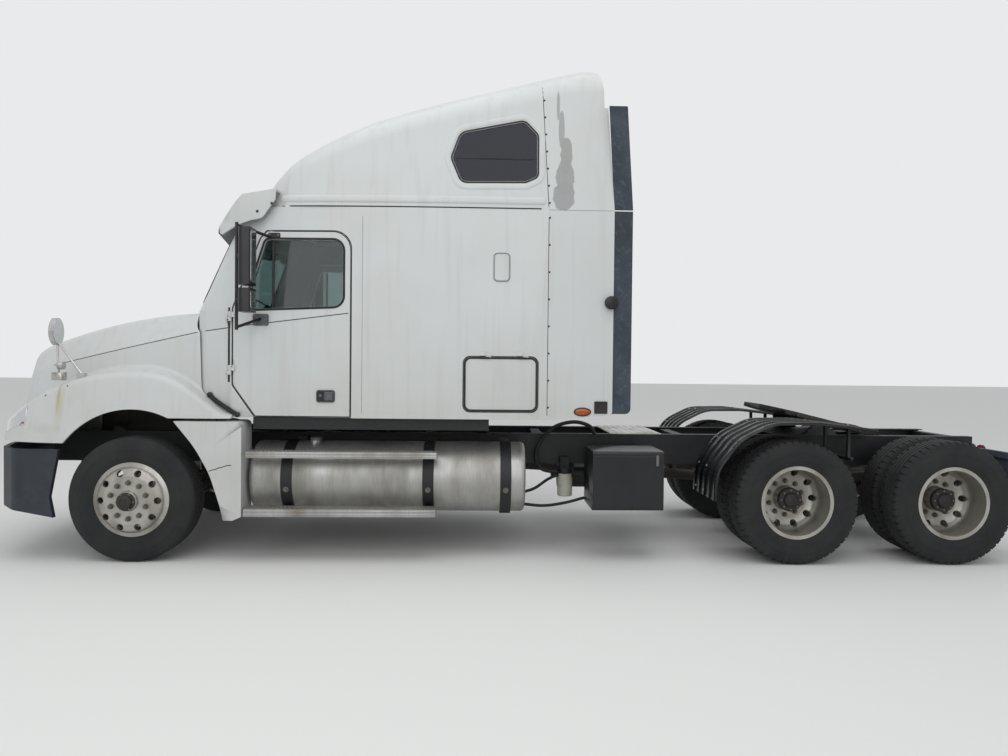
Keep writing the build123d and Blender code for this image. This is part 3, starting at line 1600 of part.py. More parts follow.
filter_s = 3520.0
filter_y = -560.0
with BuildPart() as fuel_filter:
    with BuildSketch(Plane.XY.offset(450)):
        with Locations((front_axle_x + filter_s, filter_y)):
            Circle(52)
    extrude(amount=200)
    with BuildSketch(Plane.XY.offset(650)):
        with Locations((front_axle_x + filter_s, filter_y)):
            Circle(66)
    extrude(amount=40)
    add(block(filter_s - 40, filter_s + 40, filter_y + 20, -rail_half_width, 688, 780))
fuel_filter.part.label = "fuel_filter"
export_step(fuel_filter.part, "parts/fuel_filter.step")

# Deck plate behind the sleeper

with BuildPart() as deck_plate:
    add(block(3945, 4410, -430, 430, rail_top, rail_top + 6))
deck_plate.part.label = "deck_plate"
export_step(deck_plate.part, "parts/deck_plate.step")

# Rear fenders: ribbed plastic quarter shells over the front drive wheels

fender_in_y = 612.0
fender_out_y = 1224.0
fender_sheet = 9.0
fender_rib = 12.0
fender_ribs = 5
fender_path = [
    # behind the first drive axle, height
    (-672.0, 520.0),
    (-655.0, 760.0),
    (-480.0, 1000.0),
    (-215.0, 1135.0),
    (150.0, 1140.0),
    (650.0, 1085.0),
]


def fender_band(rise):
    """The fender's outline from the side, with its top face raised by rise."""
    outer = []
    count = len(fender_path)
    for i, (s, z) in enumerate(fender_path):
        before = fender_path[max(i - 1, 0)]
        after = fender_path[min(i + 1, count - 1)]
        run = (after[0] - before[0], after[1] - before[1])
        length = hypot(*run)
        outer.append((s - run[1] / length * rise, z + run[0] / length * rise))
    points = fender_path + outer[::-1]
    return [(first_axle + s, z) for s, z in points]


band_radii = [0, 260, 330, 380, 600, 0]
band_radii = band_radii + band_radii[::-1]
fender_tubes = [(-646.0, 690.0), (450.0, 860.0)]
tube_size = 17.0
rib_pitch = (fender_out_y - fender_in_y - 60) / (fender_ribs - 1)
fender_sheet_part = side_slab(
    fender_band(fender_sheet), band_radii, fender_in_y, fender_out_y
)
with BuildPart() as rear_fenders:
    add(fender_sheet_part)
    for i in range(fender_ribs):
        y = fender_in_y + 30 + i * rib_pitch
        add(side_slab(fender_band(fender_sheet + fender_rib), band_radii, y - 22, y + 22))
    for s, z in fender_tubes:
        add(rod((first_axle + s, rail_half_width, z), (first_axle + s, 1180, z), tube_size))
    for y in (700.0, 1120.0):
        s, z = fender_tubes[1]
        add(rod((first_axle + s, y, z), (first_axle + s, y, 1110.0), tube_size))
    mirror(about=Plane.XZ)
rear_fenders.part.label = "rear_fenders"
export_step(rear_fenders.part, "parts/rear_fenders.step")

# Mud flaps on hangers behind the last wheels, with the tail lamps on the hangers

flap_s = 7190.0
hanger_half = 25.0
hanger_z = 883.0
hanger_end_y = 1210.0
flap_in_y = 620.0
flap_bottom = 330.0
flap_half_thickness = 5.0
hanger_low = hanger_z - hanger_half
with BuildPart() as mud_flaps:
    add(
        block(
            flap_s - hanger_half,
            flap_s + hanger_half,
            rail_half_width,
            hanger_end_y,
            hanger_low,
            hanger_z + hanger_half,
        )
    )
    add(
        block(
            flap_s - flap_half_thickness,
            flap_s + flap_half_thickness,
            flap_in_y,
            hanger_end_y,
            flap_bottom,
            hanger_low + 2,
        )
    )
    mirror(about=Plane.XZ)
mud_flaps.part.label = "mud_flaps"
export_step(mud_flaps.part, "parts/mud_flaps.step")

lamp_radius = 50.0
lamp_depth = 24.0
lamp_stations = [-650.0, -520.0, 520.0, 650.0]
with BuildPart() as tail_lamps:
    with BuildSketch(Plane.YZ.offset(front_axle_x + flap_s + hanger_half)):
        with Locations(*[(y, hanger_z) for y in lamp_stations]):
            Circle(lamp_radius)
    extrude(amount=lamp_depth)
tail_lamps.part.label = "tail_lamps"
export_step(tail_lamps.part, "parts/tail_lamps.step")

# Fifth wheel base: a plate over the rails with a pair of ears and a pin each side

ear_pairs_y = [(398.0, 414.0), (456.0, 472.0)]
base_top = rail_top + 12
trunnion_radius = 24.0
base_ear = [
    (fifth_wheel_s - 150, base_top - 2),
    (fifth_wheel_s - 40, fifth_wheel_z + 30),
    (fifth_wheel_s + 40, fifth_wheel_z + 30),
    (fifth_wheel_s + 150, base_top - 2),
]
with BuildPart() as fifth_wheel_base:
    add(block(5460, 6260, -475, 475, rail_top, base_top))
    for low_y, high_y in ear_pairs_y:
        add(side_slab(base_ear, [0, 35, 35, 0], low_y, high_y))
        add(side_slab(base_ear, [0, 35, 35, 0], -high_y, -low_y))
    for side in sides.values():
        add(
            rod(
                (fifth_wheel_s, side * 400, fifth_wheel_z),
                (fifth_wheel_s, side * 470, fifth_wheel_z),
                trunnion_radius,
            )
        )
fifth_wheel_base.part.label = "fifth_wheel_base"
export_step(fifth_wheel_base.part, "parts/fifth_wheel_base.step")

# Fifth wheel plate: tilts on the trunnion pins, open to the rear for the kingpin

tilt = radians(fifth_wheel_tilt)
coupler_plane = Plane(
    origin=(front_axle_x + fifth_wheel_s, 0, fifth_wheel_z),
    x_dir=(cos(tilt), 0, -sin(tilt)),
    z_dir=(sin(tilt), 0, cos(tilt)),
)
jaw_radius = 26.5
plate_outline = [
    (-500.0, -230.0),
    (-300.0, -465.0),
    (350.0, -465.0),
    (440.0, -335.0),
    (640.0, -320.0),
    (640.0, -170.0),
    (200.0, -jaw_radius),
    (-jaw_radius, -jaw_radius),
    (-jaw_radius, jaw_radius),
    (200.0, jaw_radius),
    (640.0, 170.0),
    (640.0, 320.0),
    (440.0, 335.0),
    (350.0, 465.0),
    (-300.0, 465.0),
    (-500.0, 230.0),
]
jaw_round = jaw_radius - 0.01
plate_radii = [120, 140, 40, 40, 20, 20, 60, jaw_round]
plate_radii = plate_radii + plate_radii[::-1]
lug_outline = [(-70.0, -30.0), (70.0, -30.0), (110.0, 60.0), (-110.0, 60.0)]
with BuildPart() as fifth_wheel_plate:
    with BuildSketch(coupler_plane.offset(fifth_wheel_top - fifth_wheel_plate_thickness)):
        with BuildLine():
            FilletPolyline(*plate_outline, radius=plate_radii, close=True)
        make_face()
    extrude(amount=fifth_wheel_plate_thickness)
    for side in sides.values():
        lug_plane = Plane(
            origin=(front_axle_x + fifth_wheel_s, side * 435.0, fifth_wheel_z),
            x_dir=coupler_plane.x_dir,
            z_dir=(0, -1, 0),
        )
        with BuildSketch(lug_plane.offset(-15)):
            with BuildLine():
                FilletPolyline(*lug_outline, radius=[28, 28, 0, 0], close=True)
            make_face()
        extrude(amount=30)
        with BuildSketch(lug_plane.offset(-30)):
            Circle(trunnion_radius + shaft_clearance)
        extrude(amount=60, mode=Mode.SUBTRACT)
fifth_wheel_plate.part.label = "fifth_wheel_plate"
export_step(fifth_wheel_plate.part, "parts/fifth_wheel_plate.step")

# Side mirrors: a tube arm with two heads, bolted to the door above and below the window

mirror_tube_s = 882.0
mirror_y = -1340.0
mirror_tube_radius = 13.0
mirror_foot_y = -1070.0
mirror_heads = [(2194.0, 2631.0), (1987.0, 2168.0)]
with BuildPart() as left_mirror:
    add(rod((mirror_tube_s, mirror_y, 1850.0), (mirror_tube_s, mirror_y, 2675.0), mirror_tube_radius))
    for tube_z, foot_s, foot_z in ((2655.0, 1090.0, 2600.0), (1870.0, 1010.0, 1960.0)):
        add(
            rod(
                (mirror_tube_s, mirror_y, tube_z),
                (foot_s, mirror_foot_y, foot_z),
                mirror_tube_radius - 1,
            )
        )
    for low, high in mirror_heads:
        head_plan = [
            (909, mirror_y - 95),
            (1008, mirror_y - 83),
            (1008, mirror_y + 83),
            (909, mirror_y + 95),
        ]
        add(plan_slab(head_plan, [40, 12, 12, 40], low, high))
        mid = (low + high) / 2
        add(rod((mirror_tube_s, mirror_y, mid), (925.0, mirror_y, mid), 20.0))
    add(cab_form(-seat_gap, cab_bottom, cab_rear), mode=Mode.SUBTRACT)

for name, side in sides.items():
    with BuildPart() as side_mirror:
        add(on_side(left_mirror.part, side))
    side_mirror.part.label = f"side_mirror_{name}"
    export_step(side_mirror.part, f"parts/side_mirror_{name}.step")
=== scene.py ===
"""Semi truck tractor unit: its paint, glass, tyre tread, trim, hoses and cab interior.

The frame's pieces stay where they are. X runs to the rear, -Y is the driver's side, Z is up.
"""

import json
import math

import bmesh
import bpy
from mathutils import Matrix, Vector
from mathutils.bvhtree import BVHTree


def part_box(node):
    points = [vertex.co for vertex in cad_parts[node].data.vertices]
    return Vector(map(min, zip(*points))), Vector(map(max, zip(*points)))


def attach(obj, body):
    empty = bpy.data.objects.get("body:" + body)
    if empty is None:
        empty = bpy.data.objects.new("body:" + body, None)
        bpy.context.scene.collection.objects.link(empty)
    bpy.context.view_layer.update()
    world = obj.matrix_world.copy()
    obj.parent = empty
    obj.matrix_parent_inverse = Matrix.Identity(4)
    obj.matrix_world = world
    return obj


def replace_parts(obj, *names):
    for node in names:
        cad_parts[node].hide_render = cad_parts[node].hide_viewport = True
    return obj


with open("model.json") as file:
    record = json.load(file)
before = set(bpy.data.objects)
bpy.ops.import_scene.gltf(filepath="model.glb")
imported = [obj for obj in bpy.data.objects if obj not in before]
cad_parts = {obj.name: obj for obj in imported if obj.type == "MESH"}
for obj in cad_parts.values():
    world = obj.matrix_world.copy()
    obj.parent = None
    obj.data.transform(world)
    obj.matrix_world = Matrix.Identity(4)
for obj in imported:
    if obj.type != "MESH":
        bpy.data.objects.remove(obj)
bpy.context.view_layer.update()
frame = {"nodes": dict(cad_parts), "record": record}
bodies = frame["record"]["behaviour"]["bodies"]
body_of = {node: body for body, nodes in bodies.items() for node in nodes}
sides = (("left", -1), ("right", 1))

# The studio: where the photographer stood, a pale floor, an even sky and two large lamps.
# Distances are behind the front axle, across (driver's side negative) and up, in metres.

tyre_low, tyre_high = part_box("steer_tyre_left")
front_axle_x = (tyre_low[0] + tyre_high[0]) / 2


def at(behind, across, up):
    """A point given behind the front axle, across and up."""
    return Vector((front_axle_x + behind, across, up))


def srgb(code):
    """A hex colour as linear red, green, blue and alpha."""
    parts = [int(code[i : i + 2], 16) / 255 for i in (1, 3, 5)]
    return [c / 12.92 if c <= 0.04045 else ((c + 0.055) / 1.055) ** 2.4 for c in parts] + [1.0]


def fill(tree, node, inputs):
    """Sets a node's inputs, by name or number, to values or to a node's live output or a socket."""
    for key, value in inputs.items():
        named = (i for i in node.inputs if i.enabled and i.name == key)
        socket = node.inputs[key] if isinstance(key, int) else next(named)
        if isinstance(value, bpy.types.Node):
            value = next(o for o in value.outputs if o.enabled)
        if isinstance(value, bpy.types.NodeSocket):
            tree.links.new(value, socket)
        else:
            socket.default_value = value


def add_node(tree, kind, inputs, **settings):
    """Adds one node with its settings and its inputs."""
    made = tree.nodes.new(kind)
    for key, value in settings.items():
        setattr(made, key, value)
    fill(tree, made, inputs)
    return made


def add_object(name, data):
    """Puts an object of that data in the scene."""
    made = bpy.data.objects.new(name, data)
    bpy.context.scene.collection.objects.link(made)
    return made


camera_place = at(2.748, -7.236, 1.607)
camera_yaw, camera_pitch, camera_roll = 0.03351, -0.01833, 0.0103
level_ahead = math.cos(camera_pitch)
ahead = Vector(
    (
        math.sin(camera_yaw) * level_ahead,
        math.cos(camera_yaw) * level_ahead,
        math.sin(camera_pitch),
    )
)
level_right = Vector((math.cos(camera_yaw), -math.sin(camera_yaw), 0))
level_up = level_right.cross(ahead)
right = math.cos(camera_roll) * level_right + math.sin(camera_roll) * level_up
upward = math.cos(camera_roll) * level_up - math.sin(camera_roll) * level_right
camera_data = bpy.data.cameras.new("camera")
camera_data.lens = 27.04
camera_data.sensor_width = 36.0
camera_data.clip_end = 300.0
camera = add_object("camera", camera_data)
turn = Matrix((right, upward, -ahead)).transposed().to_4x4()
camera.matrix_world = Matrix.Translation(camera_place) @ turn
bpy.context.scene.camera = camera

bpy.context.scene.view_settings.view_transform = "Standard"
world = bpy.data.worlds.new("studio_sky")
bpy.context.scene.world = world
world.use_nodes = True
sky = world.node_tree
sky.nodes.clear()
rays = add_node(sky, "ShaderNodeLightPath", {}).outputs
seen = rays["Is Camera Ray"]
for ray in ("Is Glossy Ray", "Is Transmission Ray"):
    seen = add_node(sky, "ShaderNodeMath", {0: seen, 1: rays[ray]}, operation="MAXIMUM")
sky_light = add_node(sky, "ShaderNodeBackground", {"Color": srgb("#eef1f4"), "Strength": 0.66})
backdrop = add_node(sky, "ShaderNodeBackground", {"Color": srgb("#f2f3f4"), "Strength": 0.92})
sky_mix = add_node(sky, "ShaderNodeMixShader", {"Fac": seen, 1: sky_light, 2: backdrop})
add_node(sky, "ShaderNodeOutputWorld", {"Surface": sky_mix})

lamps = [
    # name, place, aim, size, watts
    ("overhead_lamp", at(2.0, -3.0, 9.5), at(2.6, 0.0, 1.5), 9.0, 290.0),
    ("driver_side_lamp", at(1.0, -11.0, 5.5), at(2.6, 0.0, 1.6), 7.0, 180.0),
]
for lamp_name, place, aim, size, watts in lamps:
    lamp_data = bpy.data.lights.new(lamp_name, "AREA")
    lamp_data.size = size
    lamp_data.energy = watts
    lamp = add_object(lamp_name, lamp_data)
    facing = (aim - place).to_track_quat("-Z", "Y").to_matrix().to_4x4()
    lamp.matrix_world = Matrix.Translation(place) @ facing


def new_material(name):
    """A material, its node tree, its shader and the object's own coordinates."""
    material = bpy.data.materials.new(name)
    material.use_nodes = True
    tree = material.node_tree
    coords = add_node(tree, "ShaderNodeTexCoord", {}).outputs["Object"]
    return material, tree, tree.nodes["Principled BSDF"], coords


floor_half = 60.0
floor_mesh = bpy.data.meshes.new("floor")
corners = [(floor_half * x, floor_half * y, 0) for x, y in ((-1, -1), (1, -1), (1, 1), (-1, 1))]
floor_mesh.from_pydata(corners, [], [(0, 1, 2, 3)])
floor = add_object("floor", floor_mesh)
concrete, concrete_tree, concrete_shader, _ = new_material("pale_floor")
fill(concrete_tree, concrete_shader, {"Base Color": srgb("#ecece9"), "Roughness": 0.9})
floor_mesh.materials.append(concrete)

# Painted shells: cab, sleeper, doors, roof, hood, extenders and visor in white vehicle paint.
# Sprayed over glass fibre and aluminium, chalky with age; each is a merged, smooth copy of its
# frame piece, and the faces that look inwards get a dark lining, partly painted shade.


def layered(tree, tone, covers):
    """Lays colours over a tone; a cover is its colour, a value, the span it grows over, its most."""
    for colour, value, start, end, most in covers:
        span = {"Value": value, "From Min": start, "From Max": end, "To Max": most}
        mix = {"Factor": add_node(tree, "ShaderNodeMapRange", span), "A": tone, "B": srgb(colour)}
        tone = add_node(tree, "ShaderNodeMix", mix, data_type="RGBA")
    return tone


def surfaced(tree, shader, tone, gloss, relief, others):
    """Gives a shader its tone, a gloss of (value, least, most) and a relief of (value, depth,
    strength), and sets its other inputs."""
    value, least, most = gloss
    span = {"Value": value, "From Min": 0.3, "From Max": 0.7, "To Min": least, "To Max": most}
    sheen = add_node(tree, "ShaderNodeMapRange", span)
    value, depth, strength = relief
    bump = {"Height": value, "Distance": depth, "Strength": strength}
    bumped = add_node(tree, "ShaderNodeBump", bump)
    fill(tree, shader, {"Base Color": tone, "Roughness": sheen, "Normal": bumped, **others})


def vehicle_paint(name, marks):
    """Old white paint: semi-gloss, stained in clouds and rain streaks, dusty towards the sill.

    Each mark is a stain of its own: its colour, middle, half sizes, strength, raggedness and
    how softly it ends.
    """
    material, tree, shader, coords = new_material(name)
    clouds, smuts, edge, ripple = (
        add_node(tree, "ShaderNodeTexNoise", {"Vector": coords, "Scale": scale, "Detail": detail})
        for scale, detail in ((1.3, 6.0), (3.5, 9.0), (14.0, 5.0), (5.0, 2.0))
    )
    tall = add_node(tree, "ShaderNodeMapping", {"Vector": coords, "Scale": (1, 1, 0.045)})
    streaks = add_node(tree, "ShaderNodeTexNoise", {"Vector": tall, "Scale": 16.0, "Detail": 3.0})
    height = add_node(tree, "ShaderNodeSeparateXYZ", {"Vector": coords}).outputs["Z"]
    near_sill = {"Value": height, "From Min": 1.75, "From Max": 0.70}
    low = add_node(tree, "ShaderNodeMapRange", near_sill)
    low_smuts = add_node(tree, "ShaderNodeMath", {0: low, 1: smuts}, operation="MULTIPLY")
    covers = [
        ("#b9b39d", clouds, 0.42, 0.72, 0.20),
        ("#a9a594", streaks, 0.52, 0.78, 0.22),
        ("#a59e8c", low_smuts, 0.0, 1.0, 0.5),
    ]
    for colour, middle, halves, strength, ragged, soft in marks:
        frame_of_mark = {"Vector": coords, "Location": at(*middle), "Scale": halves}
        local = add_node(tree, "ShaderNodeMapping", frame_of_mark, vector_type="TEXTURE")
        distance = add_node(tree, "ShaderNodeVectorMath", {"Vector": local}, operation="LENGTH")
        parts = {0: edge, 1: ragged, 2: distance}
        uneven = add_node(tree, "ShaderNodeMath", parts, operation="MULTIPLY_ADD")
        rim = 1.0 + ragged * 0.5
        covers.append((colour, uneven, rim, rim - soft, strength))
    paint = layered(tree, srgb("#cfd2d2"), covers)
    coat = {"Coat Weight": 0.25, "Coat Roughness": 0.22}
    surfaced(tree, shader, paint, (smuts, 0.32, 0.55), (ripple, 0.004, 0.3), coat)
    return material


def weathered(
    name, colour, worn, dust, rough, metallic=0.0, patch_mm=110, grain_mm=3, shares=(0.5, 0.45)
):
    """A dull used surface: worn patches of that size, a film of dust, and a fine grain."""
    material, tree, shader, coords = new_material(name)
    blotch = {"Vector": coords, "Scale": 1000 / patch_mm, "Detail": 8.0, "Roughness": 0.65}
    patches = add_node(tree, "ShaderNodeTexNoise", blotch)
    film = add_node(tree, "ShaderNodeTexNoise", {"Vector": coords, "Scale": 4.0, "Detail": 7.0})
    covers = [(worn, patches, 0.54, 0.64, shares[0]), (dust, film, 0.32, 0.74, shares[1])]
    tone = layered(tree, srgb(colour), covers)
    fine = {"Vector": coords, "Scale": 1000 / grain_mm, "Detail": 2.0}
    grain = add_node(tree, "ShaderNodeTexNoise", fine)
    relief = (grain, grain_mm / 9000, 0.5)
    surfaced(tree, shader, tone, (film, rough, rough + 0.14), relief, {"Metallic": metallic})
    return material


def ride_with(piece, node):
    """The piece moves with that frame piece's body."""
    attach(piece, body_of[node])


def flat_first(piece):
    """Weighs a piece's smooth normals by face area, so that broad flats stay flat."""
    weigh = piece.modifiers.new("flat_first", "WEIGHTED_NORMAL")
    weigh.keep_sharp = True
    graph = bpy.context.evaluated_depsgraph_get()
    settled = bpy.data.meshes.new_from_object(piece.evaluated_get(graph))
    piece.modifiers.clear()
    piece.data = settled


merge_distance = 0.00002
shell_angle = 32.0


def smooth_copy(node, material, inner=None, middle=None):
    """A merged copy of a frame piece, smooth between its hard edges; inner faces look at middle."""
    mesh = frame["nodes"][node].data.copy()
    merged = bmesh.new()
    merged.from_mesh(mesh)
    bmesh.ops.remove_doubles(merged, verts=merged.verts, dist=merge_distance)
    for face in merged.faces:
        looks_in = inner and face.normal.dot(face.calc_center_median() - middle) < 0
        face.material_index = int(bool(looks_in))
    merged.to_mesh(mesh)
    merged.free()
    mesh.shade_smooth()
    mesh.set_sharp_from_angle(angle=math.radians(shell_angle))
    mesh.materials.clear()
    mesh.materials.append(material)
    if inner:
        mesh.materials.append(inner)
    piece = add_object(f"{node}_finished", mesh)
    flat_first(piece)
    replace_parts(piece, node)
    ride_with(piece, node)
    return piece


# grey felt and vinyl that line the cab, darkened with painted shade so that the glass looks into a
# dark room
cab_lining_and_shade = weathered(
    "dark_grey_lining_and_painted_shade", "#232629", "#2c2e31", "#3a3a39", 0.85, patch_mm=300, shares=(0.4, 0.3)
)
# black fibre under the hood, matt, its near-black partly painted shade so that the wheel arch reads
# as a deep shadow
hood_lining_and_shade = weathered(
    "black_fibre_lining_and_painted_shade", "#121213", "#1d1b1a", "#35312c", 0.9, shares=(0.4, 0.3)
)
# white two-pack paint, dulled, with soft yellow-grey clouds and rain streaks
white_paint = vehicle_paint("white_vehicle_paint", [])
# the hood's paint, with a rust run under each mirror foot
hood_paint = vehicle_paint(
    "white_hood_paint",
    [
        (colour, (-0.600 + lean, side, up), (width, 0.6, tall), strength, 0.9, 0.9)
        for side in (-1.05, 1.05)
        for colour, lean, up, width, tall, strength in (
            ("#a89a63", 0.0, 1.300, 0.020, 0.17, 0.75),
            ("#b3a985", 0.02, 1.240, 0.050, 0.24, 0.45),
            ("#b0ab97", -0.10, 1.060, 0.150, 0.05, 0.35),
        )
    ],
)
# the roof's rear shell, peeled to grey primer along its riveted seam
peeled_paint = vehicle_paint(
    "white_peeling_paint",
    [
        ("#9fa19f", (3.372, -1.12, 3.70), (0.014, 0.60, 0.13), 0.9, 0.4, 0.08),
        ("#9c9e9c", (3.400, -1.12, 3.50), (0.026, 0.60, 0.17), 0.9, 0.5, 0.08),
        ("#9b9c99", (3.440, -1.12, 3.30), (0.050, 0.60, 0.17), 0.95, 0.6, 0.08),
        ("#9a9c9b", (3.430, -1.12, 3.12), (0.078, 0.60, 0.17), 0.95, 0.7, 0.08),
        ("#9a9c9b", (3.418, -1.12, 2.96), (0.092, 0.60, 0.12), 0.95, 0.6, 0.08),
    ],
)
shells = [
    # frame piece, paint, inner finish, the point its inside looks at
    ("cab_shell", white_paint, cab_lining_and_shade, at(1.5, 0, 1.95)),
    ("sleeper_shell", white_paint, cab_lining_and_shade, at(2.5, 0, 2.1)),
    ("door_left", white_paint, cab_lining_and_shade, at(1.3, 0, 1.9)),
    ("door_right", white_paint, cab_lining_and_shade, at(1.3, 0, 1.9)),
    ("luggage_door_left", white_paint, cab_lining_and_shade, at(2.9, 0, 1.45)),
    ("luggage_door_right", white_paint, cab_lining_and_shade, at(2.9, 0, 1.45)),
    ("roof_fairing", white_paint, cab_lining_and_shade, at(2.5, 0, 3.0)),
    ("extenders", peeled_paint, None, None),
    ("sun_visor", white_paint, None, None),
    ("hood", hood_paint, hood_lining_and_shade, at(-0.2, 0, 1.2)),
    ("wheel_fairings", white_paint, None, None),
]
for shell in shells:
    smooth_copy(*shell)

# Windows: toughened glass with a grey-green tint, 5 mm thick, flat and slightly dusty; the roof's
# windows have a near-black privacy tint.


def clear_solid(name, colour, rough, others):
    """Glass or clear plastic of that tint, hazed unevenly by dust."""
    material, tree, shader, coords = new_material(name)
    film = add_node(tree, "ShaderNodeTexNoise", {"Vector": coords, "Scale": 6.0, "Detail": 5.0})
    span = {"Value": film, "From Min": 0.35, "From Max": 0.75, "To Max": rough}
    haze = add_node(tree, "ShaderNodeMapRange", span)
    clear = {"Transmission Weight": 1.0, "IOR": 1.45, **others}
    fill(tree, shader, {"Base Color": srgb(colour), "Roughness": haze, **clear})
    return material


# grey-green tinted glass, lets the dark cab show through
cab_glass = clear_solid("green_tinted_glass", "#93a7a5", 0.05, {})
# near-black privacy tint, reads navy under the sky
dim = {"Transmission Weight": 0.6, "Specular IOR Level": 0.2}
privacy_glass = clear_solid("navy_privacy_glass", "#182336", 0.04, dim)
roof_glass_from = 2.95
for node in ("door_glass_left", "door_glass_right", "fixed_windows"):
    pane = smooth_copy(node, cab_glass)
    pane.data.materials.append(privacy_glass)
    for face in pane.data.polygons:
        face.material_index = int(face.center.z > roof_glass_from)

# Chassis: rails, crossmembers, straps, brackets and castings, black enamel over steel and iron.
# Road dust lies over all of it, with rust in small patches.

# black chassis enamel, road dust over it, rust in small patches
chassis_enamel = weathered(
    "black_chassis_enamel", "#0a0c0f", "#2b221d", "#2b2d2f", 0.45, patch_mm=60, shares=(0.3, 0.35)
)
rail_parts = ("frame_rails", "crossmembers", "cab_underframe", "tank_straps", "air_tanks")
for node in rail_parts + ("fuel_filter", "fifth_wheel_base"):
    smooth_copy(node, chassis_enamel)
# cast iron and forged steel, brown-grey with dust and grease
dusty_casting = weathered(
    "dusty_cast_iron", "#1b1a19", "#3f3127", "#57514a", 0.6,
    patch_mm=90, grain_mm=5, shares=(0.45, 0.4)
)
steering = ("front_axle", "front_springs", "knuckle_left", "knuckle_right", "tie_rod")
for node in steering + ("drive_axles", "rear_suspension", "engine", "fifth_wheel_plate"):
    smooth_copy(node, dusty_casting)

# Aluminium: tanks, steps, deck plate, wheels, exhaust and radiator, dulled and brushed by use.
# The grille and the hood mirrors are chromed on the same pattern.


def brushed_aluminium(name, colour, dirt, axis, rough):
    """Aluminium sheet or casting: brushed round one axis, dull, with dirt in soft runs."""
    material, tree, shader, coords = new_material(name)
    stretch = [0.03, 0.03, 0.03]
    stretch[axis] = 1.0
    drawn = add_node(tree, "ShaderNodeMapping", {"Vector": coords, "Scale": stretch})
    lines = add_node(tree, "ShaderNodeTexNoise", {"Vector": drawn, "Scale": 260.0, "Detail": 2.0})
    tall = add_node(tree, "ShaderNodeMapping", {"Vector": coords, "Scale": (1, 1, 0.35)})
    runs = add_node(tree, "ShaderNodeTexNoise", {"Vector": tall, "Scale": 5.0, "Detail": 7.0})
    covers = [(dirt, lines, 0.40, 0.70, 0.25), (dirt, runs, 0.40, 0.74, 0.7)]
    tone = layered(tree, srgb(colour), covers)
    gloss = (runs, rough, rough + 0.25)
    surfaced(tree, shader, tone, gloss, (lines, 0.0004, 0.4), {"Metallic": 0.85})
    return material


# brushed aluminium sheet, dull, with the brush lines round the tank
tank_aluminium = brushed_aluminium("dull_brushed_aluminium", "#b4b4b2", "#7b756b", 0, 0.38)
for node in ("fuel_tanks", "tank_steps", "exhaust", "radiator"):
    smooth_copy(node, tank_aluminium)
# chequered sheet scoured pale by boots
deck_aluminium = brushed_aluminium("scoured_aluminium", "#d6d5d0", "#a5a199", 1, 0.42)
smooth_copy("deck_plate", deck_aluminium)
# forged aluminium, warm grey with brake dust
wheel_aluminium = brushed_aluminium("weathered_forged_aluminium", "#bcbab4", "#7c7467", 1, 0.36)
for node in frame["nodes"]:
    if node.startswith(("steer_wheel", "drive_wheel")):
        smooth_copy(node, wheel_aluminium)
# dull chrome plate on the grille and the hood mirrors
dull_chrome = brushed_aluminium("dull_chrome_plate", "#c9c9c8", "#8b8880", 2, 0.16)
for node in ("grille", "hood_mirrors"):
    smooth_copy(node, dull_chrome)

# Tyres: each ring of a tyre is turned from one profile with its grooves and sidewall ribs; the
# drive tyres' shoulders are cut into lugs. Worn, grey with road dust, paler at the scuffed edge.


# degrees between faces from which an edge is hard
piece_angle, tyre_angle, soft_angle = 35.0, 30.0, 60.0


def add_piece(name, verts, faces, material, node, angle=piece_angle):
    """A mesh piece, smooth between its hard edges, riding with that frame piece."""
    mesh = bpy.data.meshes.new(name)
    mesh.from_pydata([tuple(v) for v in verts], [], faces)
    mesh.materials.append(material)
    outwards = bmesh.new()
    outwards.from_mesh(mesh)
    bmesh.ops.recalc_face_normals(outwards, faces=outwards.faces)
    outwards.to_mesh(mesh)
    outwards.free()
    mesh.shade_smooth()
    mesh.set_sharp_from_angle(angle=math.radians(angle))
    piece = add_object(name, mesh)
    flat_first(piece)
    ride_with(piece, node)
    return piece


def joined(forms):
    """Several forms' points and faces as one."""
    verts, faces = [], []
    for more, rows in forms:
        faces += [tuple(i + len(verts) for i in face) for face in rows]
        verts += [Vector(v) for v in more]
    return verts, faces


def ring_faces(count, size, closed=False):
    """Faces between that many rings of points; unless they close on themselves, with both ends."""
    faces = []
    for i in range(count if closed else count - 1):
        here, there = i * size, (i + 1) % count * size
        for j in range(size):
            k = (j + 1) % size
            faces.append((here + j, here + k, there + k, there + j))
    if not closed:
        faces += [tuple(range(size))[::-1], tuple(range((count - 1) * size, count * size))]
    return faces


# vulcanised rubber, near black, with grey-brown dust held in its grain
tyre_rubber = weathered(
    "dusty_tyre_rubber", "#0e1013", "#1f2124", "#474645", 0.75,
    patch_mm=70, grain_mm=2, shares=(0.45, 0.38)
)
# half of a tyre's profile: across from its middle, depth under its radius, cut by the lugs
tyre_half = [
    (0.000, 0.000, 0), (0.016, 0.000, 0), (0.018, 0.009, 0), (0.026, 0.009, 0),
    (0.028, 0.000, 0), (0.062, 0.001, 0), (0.064, 0.010, 0), (0.072, 0.010, 0),
    (0.074, 0.001, 1), (0.098, 0.003, 1), (0.110, 0.006, 1), (0.119, 0.014, 1),
    (0.126, 0.030, 1), (0.130, 0.044, 0), (0.136, 0.062, 0), (0.140, 0.086, 0),
    (0.1405, 0.092, 0), (0.1425, 0.094, 0), (0.1425, 0.098, 0), (0.141, 0.100, 0),
    (0.139, 0.128, 0), (0.134, 0.156, 0), (0.135, 0.160, 0), (0.133, 0.164, 0),
    (0.126, 0.182, 0), (0.121, 0.196, 0), (0.116, 0.205, 0),
]
lug_depth = 0.009
# shares of one lug's pitch, and whether the shoulder is cut there
lug_steps = [(0.0, 0), (0.70, 0), (0.75, 1), (0.95, 1)]
plain_steps = 120


